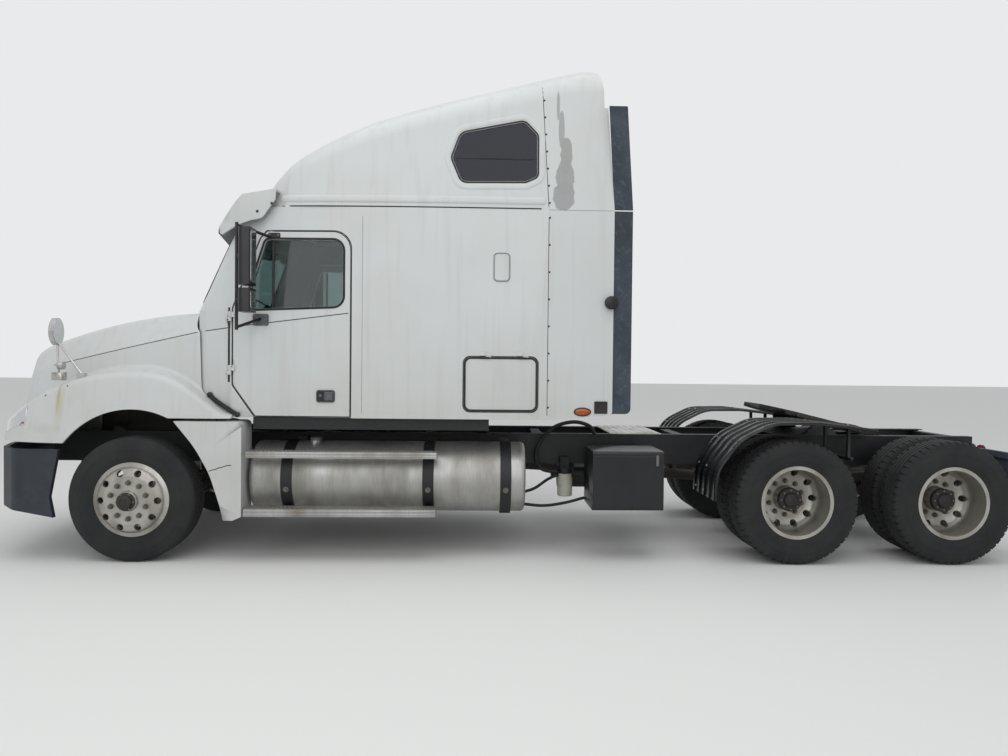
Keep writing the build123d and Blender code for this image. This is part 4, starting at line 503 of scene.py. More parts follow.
def tyre_rings(centre, radius, lugs):
    """Points and faces of one tyre; lugs is the number of lugs round it, or 0 for plain ribs."""
    profile = [(-a, d, c) for a, d, c in reversed(tyre_half[1:])] + tyre_half
    count, steps = (lugs, lug_steps) if lugs else (plain_steps, [(0.0, 0)])
    turns = [((i + part) / count, cut) for i in range(count) for part, cut in steps]
    verts = []
    for turn_share, cut in turns:
        angle = 2 * math.pi * turn_share
        for across, depth, lugged in profile:
            reach = radius - depth - lug_depth * cut * lugged
            place = (math.cos(angle) * reach, across, math.sin(angle) * reach)
            verts.append(centre + Vector(place))
    return verts, ring_faces(len(turns), len(profile), True)


drive_front, drive_rear = 5.3425, 6.6375
steer_radius, drive_radius = 0.500, 0.506
tyre_rows = [
    # frame piece, behind the axle, middle across, radius, lugs
    ("steer_tyre", 0.0, [1.030], steer_radius, 0),
    ("drive_tyres_front", drive_front, [1.087, 0.752], drive_radius, 52),
    ("drive_tyres_rear", drive_rear, [1.087, 0.752], drive_radius, 52),
]
for stem, behind, middles, radius, lugs in tyre_rows:
    for side_name, side in sides:
        node = f"{stem}_{side_name}"
        places = [at(behind, side * middle, radius) for middle in middles]
        form = joined([tyre_rings(place, radius, lugs) for place in places])
        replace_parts(add_piece(f"{node}_tread", *form, tyre_rubber, node, tyre_angle), node)

# Wheel fasteners and hub ends: flanged nuts on their studs, a bolted oil cap in front, a flange
# of shaft bolts behind. Each is one turned or six-sided form repeated round its wheel.


def circle(count, phase=0.0):
    """Evenly spaced points (across, up) of a circle of radius 1."""
    turns = [2 * math.pi * (i + phase) / count for i in range(count)]
    return [(math.cos(t), math.sin(t)) for t in turns]


def turned(rows, count):
    """Points and faces of a form turned about +Z from (radius, height) rows, closed at its ends."""
    verts = [(radius * c, radius * s, height) for radius, height in rows for c, s in circle(count)]
    return verts, ring_faces(len(rows), count)


def moved(form, matrix):
    """A form's points turned and carried by a matrix."""
    return [matrix @ Vector(v) for v in form[0]], form[1]


full_turn, turn_seed = 6.2831, 7
repeat_tree = bpy.data.node_groups.new("repeat_on_points", "GeometryNodeTree")
sockets = {}
for socket_name, kind in (
    ("Points", "NodeSocketGeometry"),
    ("Unit", "NodeSocketObject"),
    ("Finish", "NodeSocketMaterial"),
    ("Turn Seed", "NodeSocketInt"),
):
    made = repeat_tree.interface.new_socket(socket_name, in_out="INPUT", socket_type=kind)
    sockets[socket_name] = made.identifier
repeat_tree.interface.new_socket("Mesh", in_out="OUTPUT", socket_type="NodeSocketGeometry")
into = add_node(repeat_tree, "NodeGroupInput", {}).outputs
unit = add_node(
    repeat_tree, "GeometryNodeObjectInfo", {"Object": into["Unit"], "As Instance": True}
)
aim_at = add_node(
    repeat_tree, "GeometryNodeInputNamedAttribute", {"Name": "aim"}, data_type="FLOAT_VECTOR"
)
spin = add_node(
    repeat_tree,
    "FunctionNodeRandomValue",
    {"Max": full_turn, "Seed": into["Turn Seed"]},
    data_type="FLOAT",
)
spin_vector = add_node(repeat_tree, "ShaderNodeCombineXYZ", {"Z": spin})
turn_to = {"Rotation": spin_vector, "Vector": aim_at}
aimed = add_node(repeat_tree, "FunctionNodeAlignEulerToVector", turn_to, axis="Z")
placed = add_node(
    repeat_tree,
    "GeometryNodeInstanceOnPoints",
    {"Points": into["Points"], "Instance": unit.outputs["Geometry"], "Rotation": aimed},
)
real = add_node(repeat_tree, "GeometryNodeRealizeInstances", {"Geometry": placed})
finished = add_node(
    repeat_tree, "GeometryNodeSetMaterial", {"Geometry": real, "Material": into["Finish"]}
)
add_node(repeat_tree, "NodeGroupOutput", {"Mesh": finished})


def repeat(name, form, places, material, node):
    """A form set on each (point, direction) of places, as one plain mesh piece."""
    unit_mesh = bpy.data.meshes.new(f"{name}_unit")
    unit_mesh.from_pydata([tuple(v) for v in form[0]], [], form[1])
    unit_mesh.shade_smooth()
    unit_mesh.set_sharp_from_angle(angle=math.radians(piece_angle))
    unit_object = add_object(f"{name}_unit", unit_mesh)
    point_mesh = bpy.data.meshes.new(name)
    point_mesh.from_pydata([tuple(p) for p, _ in places], [], [])
    aims = point_mesh.attributes.new("aim", "FLOAT_VECTOR", "POINT")
    for row, (_, direction) in zip(aims.data, places):
        row.vector = direction
    holder = add_object(name, point_mesh)
    modifier = holder.modifiers.new("repeat", "NODES")
    modifier.node_group = repeat_tree
    modifier[sockets["Unit"]] = unit_object
    modifier[sockets["Finish"]] = material
    modifier[sockets["Turn Seed"]] = turn_seed
    graph = bpy.context.evaluated_depsgraph_get()
    result = bpy.data.meshes.new_from_object(holder.evaluated_get(graph))
    holder.modifiers.clear()
    holder.data = result
    bpy.data.objects.remove(unit_object)
    ride_with(holder, node)


skins = {}


def skin_of(*nodes):
    """A tree of the surfaces of these frame pieces, to find where a straight line meets them."""
    if nodes not in skins:
        verts, faces = [], []
        for node in nodes:
            mesh = frame["nodes"][node].data
            faces += [tuple(i + len(verts) for i in face.vertices) for face in mesh.polygons]
            verts += [v.co.copy() for v in mesh.vertices]
        skins[nodes] = BVHTree.FromPolygons(verts, faces)
    return skins[nodes]


def touch(skin, start, direction):
    """Where a line from start meets the skin, and which way the skin faces there."""
    place, normal, _, _ = skin.ray_cast(Vector(start), Vector(direction))
    if place is None:
        return None
    if normal.dot(Vector(direction)) > 0:
        normal = -normal
    return place, normal


# zinc-plated nuts, dull grey with rust in their corners
nut_steel = weathered(
    "rusty_zinc_plated_steel", "#77746e", "#5a4334", "#6d675c", 0.45, 0.7, patch_mm=15, grain_mm=2
)
# painted cast iron of the hubs, grease and brown dust
hub_iron = weathered(
    "greasy_painted_iron", "#1d1b1b", "#4a332c", "#4c443d", 0.55, patch_mm=35, shares=(0.5, 0.35)
)
nut = joined(
    [
        turned([(0.0205, 0.0), (0.0215, 0.003), (0.0200, 0.006)], 20),
        turned([(0.0165, 0.005), (0.0190, 0.007), (0.0190, 0.025), (0.0165, 0.029)], 6),
        turned([(0.0105, 0.028), (0.0105, 0.040), (0.0090, 0.042)], 12),
    ]
)
small_bolt = joined(
    [
        turned([(0.0100, 0.0), (0.0100, 0.002)], 16),
        turned([(0.0082, 0.001), (0.0085, 0.008), (0.0070, 0.0095)], 6),
    ]
)
front_rows = [(0.072, -0.03), (0.072, 0.004), (0.060, 0.010), (0.056, 0.034)]
front_cap = turned(front_rows + [(0.048, 0.040), (0.030, 0.041), (0.028, 0.036), (0.004, 0.035)], 40)
drive_rows = [(0.098, -0.03), (0.098, 0.008), (0.092, 0.013), (0.062, 0.014)]
drive_cap = turned(drive_rows + [(0.052, 0.030), (0.040, 0.034), (0.004, 0.036)], 40)
wheel_rows = [
    # frame piece, behind the axle, axle height, cap, bolts on it, their circle
    ("steer_wheel", 0.0, steer_radius, front_cap, 6, 0.063),
    ("drive_wheel_front", drive_front, drive_radius, drive_cap, 8, 0.079),
    ("drive_wheel_rear", drive_rear, drive_radius, drive_cap, 8, 0.079),
]
stud_circle, nut_sunk, bolt_lift = 0.1429, 0.001, 0.009
outside_wheels = 1.5
for stem, behind, height, cap, bolts, bolt_circle in wheel_rows:
    for side_name, side in sides:
        node = f"{stem}_{side_name}"
        outward = Vector((0, side, 0))
        skin = skin_of(node)
        nuts = []
        for c, s in circle(10, 0.5):
            start = at(behind + stud_circle * c, side * outside_wheels, height + stud_circle * s)
            face, _ = touch(skin, start, -outward)
            nuts.append((face - nut_sunk * outward, outward))
        repeat(f"{node}_nuts", nut, nuts, nut_steel, node)
        beside_hub = at(behind + 0.02, side * outside_wheels, height + 0.01)
        hub_face, _ = touch(skin, beside_hub, -outward)
        centre = at(behind, hub_face.y, height)
        stand = Matrix.Translation(centre) @ outward.to_track_quat("Z", "X").to_matrix().to_4x4()
        add_piece(f"{node}_hub_end", *moved(cap, stand), hub_iron, node)
        bolt_places = []
        for c, s in circle(bolts):
            place = Vector((bolt_circle * c, side * bolt_lift, bolt_circle * s))
            bolt_places.append((centre + place, outward))
        repeat(f"{node}_hub_bolts", small_bolt, bolt_places, nut_steel, node)

# Rubber sheet: the extenders' edge fins and the mud flaps, faded grey with dust, dull beside
# the paint.

# sheet rubber, bleached blue-grey in patches
fin_rubber = weathered(
    "weathered_sheet_rubber", "#2f363f", "#535b66", "#616973", 0.75, patch_mm=40
)
for node in ("extender_edges", "mud_flaps"):
    smooth_copy(node, fin_rubber)

# Moulded plastics: bumper, rear fenders, battery box, mirrors, dashboard and the lamps' lenses.
# They are dull black or faded grey; the headlamps are silvered and the tail lamps red.

# grained grey plastic, sun-bleached in clouds
bumper_plastic = weathered(
    "faded_grey_plastic", "#1e242b", "#30373f", "#3f464d", 0.45,
    patch_mm=200, grain_mm=2, shares=(0.5, 0.4)
)
smooth_copy("bumper", bumper_plastic)
# black polyethylene and paint, a little dust on it
black_plastic = weathered(
    "black_moulded_plastic", "#08090c", "#101318", "#23262a", 0.30,
    patch_mm=150, grain_mm=2, shares=(0.6, 0.25)
)
for node in ("rear_fenders", "battery_box", "side_mirror_left", "side_mirror_right", "dashboard"):
    smooth_copy(node, black_plastic)
# silvered reflector under a clear polycarbonate lens, hazed by stone dust
lamp_lens = weathered(
    "silvered_lamp_lens", "#c3c7c9", "#8d9294", "#a7a69f", 0.10, 0.75,
    patch_mm=45, grain_mm=8, shares=(0.6, 0.3)
)
lamp_lens.node_tree.nodes["Principled BSDF"].inputs["Coat Weight"].default_value = 1.0
smooth_copy("headlamps", lamp_lens)
# red acrylic, dusty
red_lens = clear_solid("red_lamp_lens", "#a01014", 0.2, {})
smooth_copy("tail_lamps", red_lens)

# Seats and bunk: cloth over foam, crowned cushions and backrests on the frame piece's plain forms,
# and one mattress. They are seen through the door glass and with a door open.

# dark woven cloth, rubbed paler in patches
seat_cloth = weathered(
    "dark_grey_seat_cloth", "#26292d", "#383b3f", "#45443f", 0.85, patch_mm=30, grain_mm=2
)
# brown-grey ticking of the mattress, dull and clean
mattress_cloth = weathered(
    "grey_mattress_cloth", "#4a4642", "#5a554e", "#6a665c", 0.9, patch_mm=80, grain_mm=2
)
smooth_copy("seats_and_bunk", seat_cloth)


def stuffed(halves, crown, squareness=6.0, steps=12):
    """Points and faces of a stuffed block, rounded all round and crowned on top."""
    spots, faces = {}, []
    for axis in range(3):
        for end in (0, steps):
            for i in range(steps):
                for j in range(steps):
                    ring = [(i, j), (i + 1, j), (i + 1, j + 1), (i, j + 1)]
                    if (end == 0) != (axis == 1):
                        ring.reverse()
                    face = []
                    for a, b in ring:
                        spot = [a, b]
                        spot.insert(axis, end)
                        face.append(spots.setdefault(tuple(spot), len(spots)))
                    faces.append(face)
    verts = []
    for spot in spots:
        x, y, z = (2 * step / steps - 1 for step in spot)
        size = sum(abs(c) ** squareness for c in (x, y, z)) ** (1 / squareness)
        x, y, z = x / size, y / size, z / size
        rise = crown * (1 - x * x) * (1 - y * y) * max(z, 0.0)
        verts.append((x * halves[0], y * halves[1], z * halves[2] + rise))
    return verts, faces


cushions = [
    # name, middle behind the axle, across and up, lean in degrees, half sizes, crown, cloth
    ("seat_cushion_left", (1.440, -0.56, 1.590), -1, (0.225, 0.256, 0.070), 0.022, seat_cloth),
    ("seat_cushion_right", (1.440, 0.56, 1.590), -1, (0.225, 0.256, 0.070), 0.022, seat_cloth),
    ("seat_back_left", (1.700, -0.56, 1.905), -82, (0.320, 0.256, 0.062), 0.028, seat_cloth),
    ("seat_back_right", (1.700, 0.56, 1.905), -82, (0.320, 0.256, 0.062), 0.028, seat_cloth),
    ("bunk_mattress", (2.875, 0.0, 1.702), 0, (0.368, 1.092, 0.076), 0.018, mattress_cloth),
]
for name, middle, lean, halves, crown, cloth in cushions:
    turn = Matrix.Translation(at(*middle)) @ Matrix.Rotation(math.radians(lean), 4, "Y")
    form = moved(stuffed(halves, crown), turn)
    add_piece(name, *form, cloth, "seats_and_bunk", soft_angle)

# Seals and seams on the body: rubber round every window and door, drip ridge and seam under the
# raised roof, the belt lines and the wipers. Each is a bead carried along the skin.


def loop(corners, step=0.06):
    """A closed outline with rounded corners, from (first, second, radius) rows, evenly divided."""
    points = []
    for i, (a, b, radius) in enumerate(corners):
        here = Vector((a, b))
        back = (Vector(corners[i - 1][:2]) - here).normalized()
        onward = (Vector(corners[(i + 1) % len(corners)][:2]) - here).normalized()
        half = back.angle(onward) / 2
        centre = here + (back + onward).normalized() * (radius / math.sin(half))
        start = here + back * (radius / math.tan(half)) - centre
        end = here + onward * (radius / math.tan(half)) - centre
        points += [centre + start.lerp(end, part / 6).normalized() * radius for part in range(7)]
    divided = []
    for i, point in enumerate(points):
        way = points[(i + 1) % len(points)] - point
        pieces = max(1, int(way.length / step))
        divided += [point + way * (k / pieces) for k in range(pieces)]
    return divided


def run(start, step, count):
    """Evenly spaced (behind, up) points."""
    return [(start[0] + step[0] * i, start[1] + step[1] * i) for i in range(count)]


def grown(points, amount):
    """A closed outline moved outwards by amount."""
    middle = sum(points, Vector((0, 0))) / len(points)
    moved_points = []
    for i, point in enumerate(points):
        along = points[(i + 1) % len(points)] - points[i - 1]
        normal = Vector((along.y, -along.x)).normalized()
        if normal.dot(point - middle) < 0:
            normal = -normal
        moved_points.append(point + normal * amount)
    return moved_points


outside_body = 2.0


def traced(skin, points, side):
    """Rows of (point, facing) where (behind, up) points meet the skin of one side."""
    starts = [at(behind, side * outside_body, up) for behind, up in points]
    hits = [touch(skin, start, (0, -side, 0)) for start in starts]
    return [hit for hit in hits if hit]


def bead(half_width, height, sunk=0.004):
    """The section of a seal: flat against the skin, rounded over."""
    return [
        (-half_width, -sunk),
        (-half_width, height * 0.35),
        (-half_width * 0.55, height),
        (half_width * 0.55, height),
        (half_width, height * 0.35),
        (half_width, -sunk),
    ]


def carried(rows, section, closed=False):
    """Points and faces of a section of (across, out) points carried along (point, facing) rows."""
    count = len(rows)
    verts = []
    for i, (point, facing) in enumerate(rows):
        before = rows[i - 1][0] if closed or i else point
        after = rows[(i + 1) % count][0] if closed or i + 1 < count else point
        across = (after - before).cross(facing).normalized()
        verts += [point + across * a + facing * o for a, o in section]
    return verts, ring_faces(count, len(section), closed)


def strip_on(skin, points, side, section, closed=False):
    """A section carried along (behind, up) points on the skin of one side."""
    return carried(traced(skin, points, side), section, closed)


def lay(shape, rows):
    """Lays each row's piece on the skin of both sides; {} in a name stands for the side."""
    for side_name, side in sides:
        for name, node, over, points, *sizes, material in rows:
            skin = skin_of(*(other.format(side_name) for other in over))
            form = shape(skin, points, side, *sizes)
            add_piece(name.format(side_name), *form, material, node.format(side_name))


# black extruded rubber, dull, with pale dust in its corners
seal_rubber = weathered(
    "black_seal_rubber", "#161617", "#2b2b2a", "#5f5d58", 0.7,
    patch_mm=60, grain_mm=2, shares=(0.5, 0.3)
)
# painted shade of closed joints, grooves, cracks and holes, with the dirt packed in them
joint_dirt_and_shade = weathered("dirt_and_shade_in_joint", "#2f2e2c", "#4a4640", "#5f5a50", 0.9, patch_mm=20)
# pale grey moulded frame round the sleeper's vent
handle_grey = weathered(
    "pale_grey_plastic", "#8f9292", "#7c7e7e", "#7f7c74", 0.5, patch_mm=40, grain_mm=2
)
window_front = [(0.914, 2.030, 0.03), (0.912, 2.190, 0.06), (1.035, 2.585, 0.04)]
door_window = loop(window_front + [(1.655, 2.582, 0.08), (1.655, 2.060, 0.08)])
roof_top = [(2.520, 3.263, 0.06), (2.592, 3.463, 0.08), (3.099, 3.566, 0.06), (3.203, 3.455, 0.06)]
roof_window = loop(roof_top + [(3.203, 3.120, 0.04), (3.110, 3.078, 0.04), (2.600, 3.070, 0.06)])


def oblong(low, high, radius, step=0.03):
    """A rounded rectangle between two (behind, up) corners."""
    corners = (low, (high[0], low[1]), high, (low[0], high[1]))
    return loop([(a, b, radius) for a, b in corners], step)


luggage_edge = oblong((2.625, 1.221), (3.225, 1.665), 0.06, 0.06)
vent_edge = oblong((2.863, 2.271), (2.989, 2.495), 0.03)
groove = bead(0.0035, 0.0012, 0.001)
door, roof, cab = ["door_{}"], ["roof_fairing"], ["sleeper_shell", "extenders", "cab_shell"]
lay(strip_on, [
    # name, frame piece, skins, points, section, closed, material
    ("door_{}_window_seal", "door_{}", door,
     grown(door_window, 0.010), bead(0.009, 0.005), True, seal_rubber),
    ("door_{}_divider_bar", "door_{}", ["door_glass_{}"],
     run((1.092, 2.045), (0, 0.106), 6), bead(0.011, 0.010), False, seal_rubber),
    # a belt line is a groove, drawn as a thin dark bead of painted shade and dirt
    ("door_{}_belt_line", "door_{}", door,
     run((0.80, 1.887), (0.09, 0.0114), 11), groove, False, joint_dirt_and_shade),
    ("luggage_door_{}_seal", "luggage_door_{}", ["luggage_door_{}"],
     grown(luggage_edge, -0.010), bead(0.009, 0.006), True, seal_rubber),
    ("roof_window_seal_{}", "roof_fairing", roof,
     grown(roof_window, 0.009), bead(0.007, 0.003), True, seal_rubber),
    ("roof_window_surround_{}", "roof_fairing", roof,
     grown(roof_window, 0.045), bead(0.020, 0.006), True, white_paint),
    ("roof_window_bar_{}", "fixed_windows", ["fixed_windows"],
     run((2.545, 3.261), (0.064, 0), 11), bead(0.006, 0.004), False, seal_rubber),
    ("sleeper_vent_frame_{}", "sleeper_shell", cab,
     vent_edge, bead(0.005, 0.004), True, handle_grey),
    ("cab_belt_line_{}", "cab_shell", cab,
     run((0.400, 1.835), (0.044, 0.0056), 9), groove, False, joint_dirt_and_shade),
    ("door_front_strip_{}", "cab_shell", cab,
     run((0.738, 1.44), (0, 0.05), 13), bead(0.009, 0.004), False, seal_rubber),
    ("hood_belt_line_{}", "hood", ["hood"],
     run((-0.86, 1.557), (0.0940, 0.0203), 16), groove, False, joint_dirt_and_shade),
])
roof_lines = [
    # name, height, pitch of its points, section, material
    ("drip_ridge", 2.918, 0.0811, bead(0.028, 0.012), white_paint),
    ("roof_seam", 2.856, 0.08, bead(0.005, 0.003), seal_rubber),
]
roof_side_from = 0.9
for side_name, side in sides:
    for name, rise, pitch, section, material in roof_lines:
        rows = traced(skin_of(*roof), run((1.16, rise), (pitch, 0), 27), side)
        rows = [row for row in rows if row[0].y * side > roof_side_from]
        add_piece(f"{name}_{side_name}", *carried(rows, section), material, "roof_fairing")

cab_front = skin_of("cab_shell", "fixed_windows")
before_cab = -0.2


def on_front(points, lift=0.0):
    """Rows of (point, facing) where (across, up) points meet the cab's front, lifted off it."""
    hits = [touch(cab_front, at(before_cab, across, up), (1, 0, 0)) for across, up in points]
    return [(hit[0] + hit[1] * lift, hit[1]) for hit in hits if hit]


windshield = loop(
    [(-0.925, 2.075, 0.09), (0.925, 2.075, 0.09), (0.835, 2.690, 0.08), (-0.835, 2.690, 0.08)]
)
seal = carried(on_front(grown(windshield, 0.010)), bead(0.012, 0.006), True)
add_piece("windshield_seal", *seal, seal_rubber, "cab_shell")
wipers = [
    # the arm's foot and its tip, across and up
    ((-0.72, 2.035), (-0.22, 2.22)),
    ((0.10, 2.035), (0.60, 2.22)),
]
foot_lift, arm_lift, blade_lift = 0.006, 0.022, 0.010
blade_half, blade_drop = 0.27, 0.035
for number, (foot, tip) in enumerate(wipers):
    arm = [
        (foot[0] + (tip[0] - foot[0]) * share, foot[1] + (tip[1] - foot[1]) * share)
        for share in (0.0, 0.25, 0.5, 0.75, 1.0)
    ]
    arm_rows = on_front(arm[:1], foot_lift) + on_front(arm[1:], arm_lift)
    arm_form = carried(arm_rows, bead(0.008, 0.008))
    add_piece(f"wiper_arm_{number}", *arm_form, seal_rubber, "cab_shell")
    blade = [
        (tip[0] + blade_half * share, tip[1] - blade_drop * share)
        for share in (-1.0, -0.5, 0.0, 0.5, 1.0)
    ]
    blade_form = carried(on_front(blade, blade_lift), bead(0.006, 0.014, 0.008))
    add_piece(f"wiper_blade_{number}", *blade_form, seal_rubber, "cab_shell")

# Rear shell's joint: rivets through the sleeper and the roof beside a sealed joint, and the joint
# between cab and sleeper. The rear joint leans forward up the raised roof.

# soft aluminium, dulled and dark with dirt
rivet_metal = weathered(
    "dirty_rivet_aluminium", "#3c3d3d", "#6e6f6e", "#4f4d49", 0.5, 0.4, patch_mm=9, grain_mm=1
)
rivet = turned([(0.0085, -0.001), (0.0085, 0.001), (0.0065, 0.0035), (0.0030, 0.0045)], 10)
rear, seam = ["sleeper_shell", "extenders", "roof_fairing"], bead(0.0025, 0.0010, 0.001)
lay(strip_on, [
    # each joint is drawn as a thin dark bead of painted shade and dirt
    ("rear_joint_low_{}", "sleeper_shell", rear,
     run((3.3015, 1.195), (0, 0.055), 30), seam, False, joint_dirt_and_shade),
    ("rear_joint_high_{}", "sleeper_shell", rear,
     run((3.299, 2.870), (-0.0025, 0.045), 23), seam, False, joint_dirt_and_shade),
    ("cab_joint_{}", "cab_shell", ["cab_shell", "sleeper_shell"],
     run((1.812, 1.20), (0, 0.105), 16), bead(0.0012, 0.0005, 0.001), False, joint_dirt_and_shade),
])
spots = run((3.309, 1.26), (0, 0.218), 8) + run((3.306, 2.905), (-0.0078, 0.140), 7)
for side_name, side in sides:
    places = traced(skin_of(*rear), spots, side)
    repeat(f"rear_rivets_{side_name}", rivet, places, rivet_metal, "sleeper_shell")

# Door furniture: a paddle handle in a dark pan with its lock, the mirror's two clamp plates with
# their bolts, and the rubber seal that fills the gap round the door.


plate_sunk = 0.003


def plate_on(skin, outline, side, height, rounding):
    """A flat-topped boss of that outline standing on the skin of one side."""
    top = grown(outline, -rounding)
    verts = []
    for points, lift in ((outline, -plate_sunk), (outline, height - rounding), (top, height)):
        verts += [place + facing * lift for place, facing in traced(skin, points, side)]
    return verts, ring_faces(3, len(outline))


# grey die-cast zinc, worn pale at its edges
handle_zinc = weathered(
    "worn_grey_zinc", "#55585a", "#8a8c8c", "#6a6a68", 0.42, 0.5, patch_mm=20, grain_mm=1
)
door_front = [(0.766, 1.420, 0.04), (0.766, 2.040, 0.10), (0.985, 2.600, 0.05)]
door_top = [(1.040, 2.657, 0.01), (1.722, 2.657, 0.15)]
door_edge = loop(door_front + door_top + [(1.722, 1.166, 0.01), (0.952, 1.166, 0.01)])
lay(strip_on, [
    ("door_{}_edge_seal", "door_{}", door,
     grown(door_edge, -0.004), bead(0.004, 0.0015), True, seal_rubber),
    ("door_{}_handle_rim", "door_{}", door,
     oblong((1.452, 1.289), (1.593, 1.380), 0.016), bead(0.005, 0.011), True, handle_zinc),
])
lay(plate_on, [
    # name, frame piece, skins, outline, height, rounding, material
    ("door_{}_handle_pan", "door_{}", door,
     oblong((1.448, 1.285), (1.597, 1.384), 0.018), 0.006, 0.003, black_plastic),
    ("door_{}_handle_paddle", "door_{}", door,
     oblong((1.512, 1.299), (1.584, 1.371), 0.010), 0.016, 0.005, handle_zinc),
    ("door_{}_mirror_plate", "door_{}", door,
     oblong((0.935, 1.895), (1.062, 1.990), 0.015), 0.012, 0.003, handle_zinc),
    ("door_{}_mirror_top_plate", "door_{}", door,
     oblong((1.050, 2.598), (1.150, 2.640), 0.010), 0.008, 0.003, black_plastic),
])
lock = turned([(0.014, 0.004), (0.014, 0.013), (0.011, 0.015)], 18)
corner_bolts = [(0.955, 1.91), (0.955, 1.975), (1.045, 1.91), (1.045, 1.975)]
corner_lift, top_lift = 0.011, 0.007
for side_name, side in sides:
    node = f"door_{side_name}"
    skin = skin_of(node)
    repeat(f"{node}_lock", lock, traced(skin, [(1.482, 1.338)], side), handle_zinc, node)
    low_bolts = traced(skin, corner_bolts, side)
    top_bolts = traced(skin, [(1.065, 2.62), (1.135, 2.62)], side)
    bolts = [(place + facing * corner_lift, facing) for place, facing in low_bolts]
    bolts += [(place + facing * top_lift, facing) for place, facing in top_bolts]
    repeat(f"{node}_mirror_bolts", small_bolt, bolts, nut_steel, node)

# Side trim: vent cover, marker lamp, rubber bump stop and door holder at the sleeper's rear, and
# the rubber straps that hold the hood down. Plastics are moulded, the lamp is amber acrylic.

# amber acrylic, dusty
amber_lens = weathered(
    "dusty_amber_acrylic", "#b4561f", "#8a3c12", "#8d7a63", 0.25,
    patch_mm=30, grain_mm=1, shares=(0.5, 0.3)
)
rear_side = ["sleeper_shell", "extenders"]
oval = [Vector((3.588 + 0.071 * c, 1.227 + 0.036 * s)) for c, s in circle(28)]
lay(plate_on, [
    ("vent_cover_{}", "sleeper_shell", rear_side,
     oblong((2.868, 2.277), (2.984, 2.489), 0.028), 0.006, 0.003, white_paint),
    ("marker_base_{}", "extenders", rear_side, oval, 0.008, 0.003, black_plastic),
    ("marker_lens_{}", "extenders", rear_side, grown(oval, -0.010), 0.026, 0.012, amber_lens),
    ("bump_stop_{}", "extenders", rear_side,
     oblong((3.684, 1.214), (3.790, 1.313), 0.006), 0.010, 0.003, seal_rubber),
])
holder_foot = [(0.030, -0.002), (0.030, 0.020), (0.050, 0.030)]
holder = turned(holder_foot + [(0.055, 0.045), (0.050, 0.060), (0.030, 0.066)], 28)
strap_end = turned([(0.022, -0.010), (0.022, 0.012), (0.016, 0.016)], 16)
strap_lift = 0.012
strap_line = [(0.575 + 0.030 * i, 1.335 - 0.155 * (i / 8) ** 0.8) for i in range(9)]
for side_name, side in sides:
    outward = Vector((0, side, 0))
    places = traced(skin_of(*rear_side), [(3.805, 2.106)], side)
    repeat(f"door_holder_{side_name}", holder, places, black_plastic, "extenders")
    skin = skin_of("hood", "cab_shell", f"door_{side_name}", "wheel_fairings")
    strap = [(place + strap_lift * outward, outward) for place, _ in traced(skin, strap_line, side)]
    form = carried(strap, bead(0.017, 0.012, 0.004))
    add_piece(f"hood_strap_{side_name}", *form, seal_rubber, "hood")
    ends = [strap[0], strap[-1]]
    repeat(f"hood_strap_ends_{side_name}", strap_end, ends, black_plastic, "hood")

# Small round fittings: the sun visor's bolts, domed and dirty like the rivets, and the fenders' two
# open holes, each drawn as a dark disc of painted shade.

plug = turned([(0.011, -0.001), (0.011, 0.004), (0.007, 0.007)], 14)
# an open hole: a thin disc, dark with painted shade
hole_shade_disc = turned([(0.007, -0.001), (0.007, 0.0006)], 12)
for side_name, side in sides:
    spots = traced(skin_of("sun_visor"), [(0.974, 2.804), (1.092, 2.866), (0.895, 2.716)], side)
    repeat(f"visor_bolts_{side_name}", plug, spots, rivet_metal, "sun_visor")
    spots = traced(skin_of("hood"), [(-0.713, 1.319), (-0.534, 1.397)], side)
    repeat(f"fender_plugs_{side_name}", hole_shade_disc, spots, joint_dirt_and_shade, "hood")

# Fuel tanks: rolled aluminium shells with their heads welded in, a filler cap on a neck, the
# straps' draw bolts, and pressed treads with raised cleats on each step.

